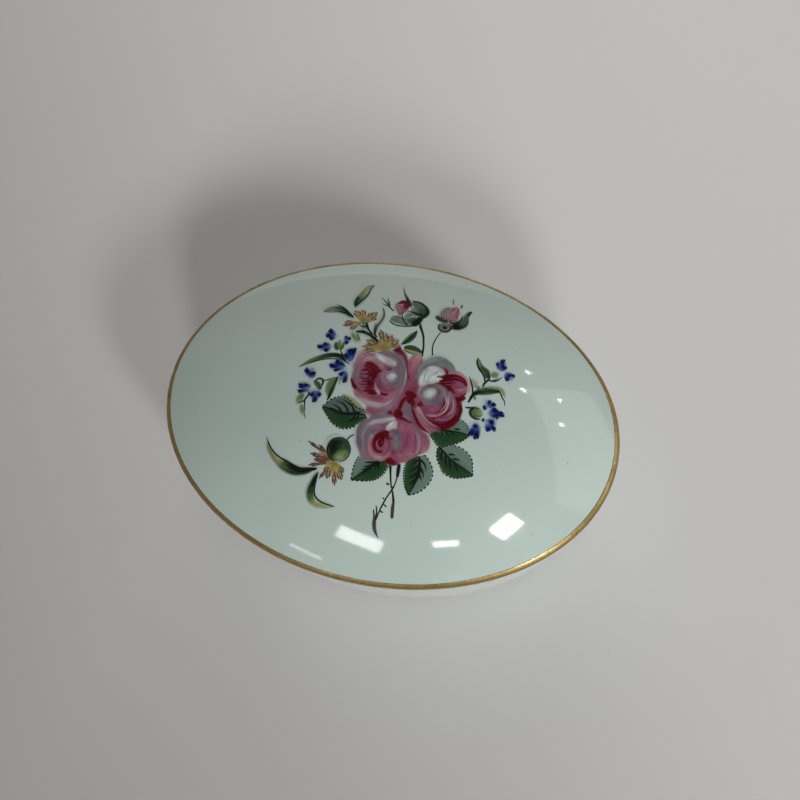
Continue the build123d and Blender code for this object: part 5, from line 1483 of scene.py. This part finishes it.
def jaggedPetal(art, root, tip, width, tints=("ochre", "yellow", "yellow"), line="brown", dark="plum"):
    a, b = Vector(root), Vector(tip)
    side = (b - a).normalized()
    side = Vector((-side.y, side.x)) * width / 2
    brush(art, [a, a.lerp(b, 0.5), a.lerp(b, 0.92)], [width * 0.4, width * 0.85, width * 0.6], tints, 1, 0.3)
    # the torn end is picked out in purple brown, with fine lines up the petal
    for k, reach in ((-0.8, 0.88), (-0.1, 1.0), (0.75, 0.85)):
        end = a.lerp(b, reach) + side * k
        start = a.lerp(b, reach - 0.32) + side * k * 0.85
        brush(art, [start, end], [0.1, 0.24, 0.16], [line, dark], 1, 0.35)
    for k, low, high in ((0.62, 0.3, 0.85), (-0.66, 0.45, 0.8), (0.05, 0.35, 0.62)):
        edge = [a.lerp(b, t) + side * k * (0.55 + 0.5 * t) for t in (low, (low + high) / 2, high)]
        brush(art, edge, [0.06, 0.18, 0.14], [line, dark, dark], 0.9, 0.4)


def paintYellowFlowers(surface):
    art = newPainting(yellowFlowers["lift"])
    brush(art, [(-4.6, 7.6), (-2.6, 8.6), (-0.3, 8.9)], [1.4, 2.2, 1.2], ["yellow", "ochre", "yellow"], 1,
          0.6)
    for petal in yellowFlowers["petals"]:
        jaggedPetal(art, *petal)
    for mark in yellowFlowers["marks"]:
        brush(art, *mark)
    return finishPainting("yellow_flowers", art, surface)


def paintThistle(surface):
    art = newPainting(thistle["lift"])
    for mark in thistle["before"]:
        brush(art, *mark)
    for petal in thistle["petals"]:
        jaggedPetal(art, *petal, ("ochre", "yellow", "ochre"), "umber", "plum")
    for mark in thistle["marks"]:
        brush(art, *mark)
    x, y = thistle["ball"]["centre"]
    size = thistle["ball"]["size"]
    spot(art, (x, y), size, ("fern", "fern", "leaf"), 1, 0.1)
    brush(art, [(x - 1.6, y - 0.2), (x - 0.9, y + 0.9), (x + 0.4, y + 1.3)], [1.4, 2.0, 1.0],
          ["ink", "ink", "leaf"], 1, 0.8)
    brush(art, [(x - 1.1, y - 0.9), (x - 0.7, y - 0.1), (x + 0.2, y + 0.4)], [0.9, 1.3, 0.6],
          ["ink", "ink", "leaf"], 0.9, 0.9)
    brush(art, [(x - 0.5, y - 1.3), (x + 0.6, y - 0.9), (x + 1.3, y)], [0.9, 1.9, 1.1], ["moss"], 1, 0.8)
    brush(art, [(x - 0.1, y - 1.3), (x + 0.8, y - 0.9)], [0.6, 1.1], ["paleGreen", "olive"], 0.8, 0.9)
    angles = [math.radians(degrees) for degrees in range(-75, 256, 30)]
    ring = [(x + size * math.cos(a), y + size * math.sin(a)) for a in angles]
    brush(art, ring, [0.12, 0.2, 0.25, 0.28, 0.28, 0.3, 0.2], ["ink"], 0.95, 0.5)
    return finishPainting("thistle_sprig", art, surface)


def enamelMaterial():
    surface, tree, shader = newMaterial("fired_enamel")
    paint = node(tree, "ShaderNodeAttribute", {"attribute_type": "GEOMETRY", "attribute_name": "paint"}, {},
                 "Color")
    grain = node(tree, "ShaderNodeAttribute", {"attribute_type": "GEOMETRY", "attribute_name": "grain"}, {},
                 "Vector")
    streaked = node(tree, "ShaderNodeVectorMath", {"operation": "MULTIPLY"}, {0: grain, 1: (0.7, 5.0, 1.0)})
    streaks = node(tree, "ShaderNodeTexNoise", {}, {"Vector": streaked, "Scale": 1.0, "Detail": 3.0})
    place = node(tree, "ShaderNodeTexCoord", output=3)
    speckle = node(tree, "ShaderNodeTexNoise", {}, {"Vector": place, "Scale": 2600.0, "Detail": 2.0})
    shade = 0.74 + streaks * 0.40 + speckle * 0.12
    worn = blendColour(tree, 1.0, paint, shade, "MULTIPLY")
    feed(tree, shader, "Base Color", worn)
    feed(tree, shader, "Roughness", 0.12 + streaks * 0.16)
    bump = node(tree, "ShaderNodeBump", {},
                {"Strength": 0.12, "Distance": 0.00002, "Height": streaks + speckle * 0.5})
    feed(tree, shader, "Normal", bump)
    feed(tree, shader, "Specular IOR Level", enamel["gloss"])
    return surface


makeCamera(camera)
print("camera set")
for name, settings in lights.items():
    makeLight(name, settings)
print("set", len(lights), "lights")
makeSurroundings()
print("floor and sky set")
makeBase(glazeMaterial("base_glaze", glaze["baseColour"], glaze["basePooled"], 0.3 * mm))
flangeTip = seat - (shape["flangeDepth"] - 0.2) * mm
makeLid(glazeMaterial("lid_glaze", glaze["colour"], glaze["pooled"], flangeTip))
makeGiltLine(giltMaterial())
fired = enamelMaterial()
paintLeaves(fired)
paintMarks("rose_stems", stems, fired)
paintYellowFlowers(fired)
paintSpray("blue_spray_left", sprays["left"], fired)
paintSpray("blue_spray_right", sprays["right"], fired)
paintThistle(fired)
paintBuds(fired)
paintRose("rose_petals", rosePetals, fired)
paintRose("rose_left", roseLeft, fired)
paintRose("rose_right", roseRight, fired)
paintRose("rose_low", roseLow, fired)
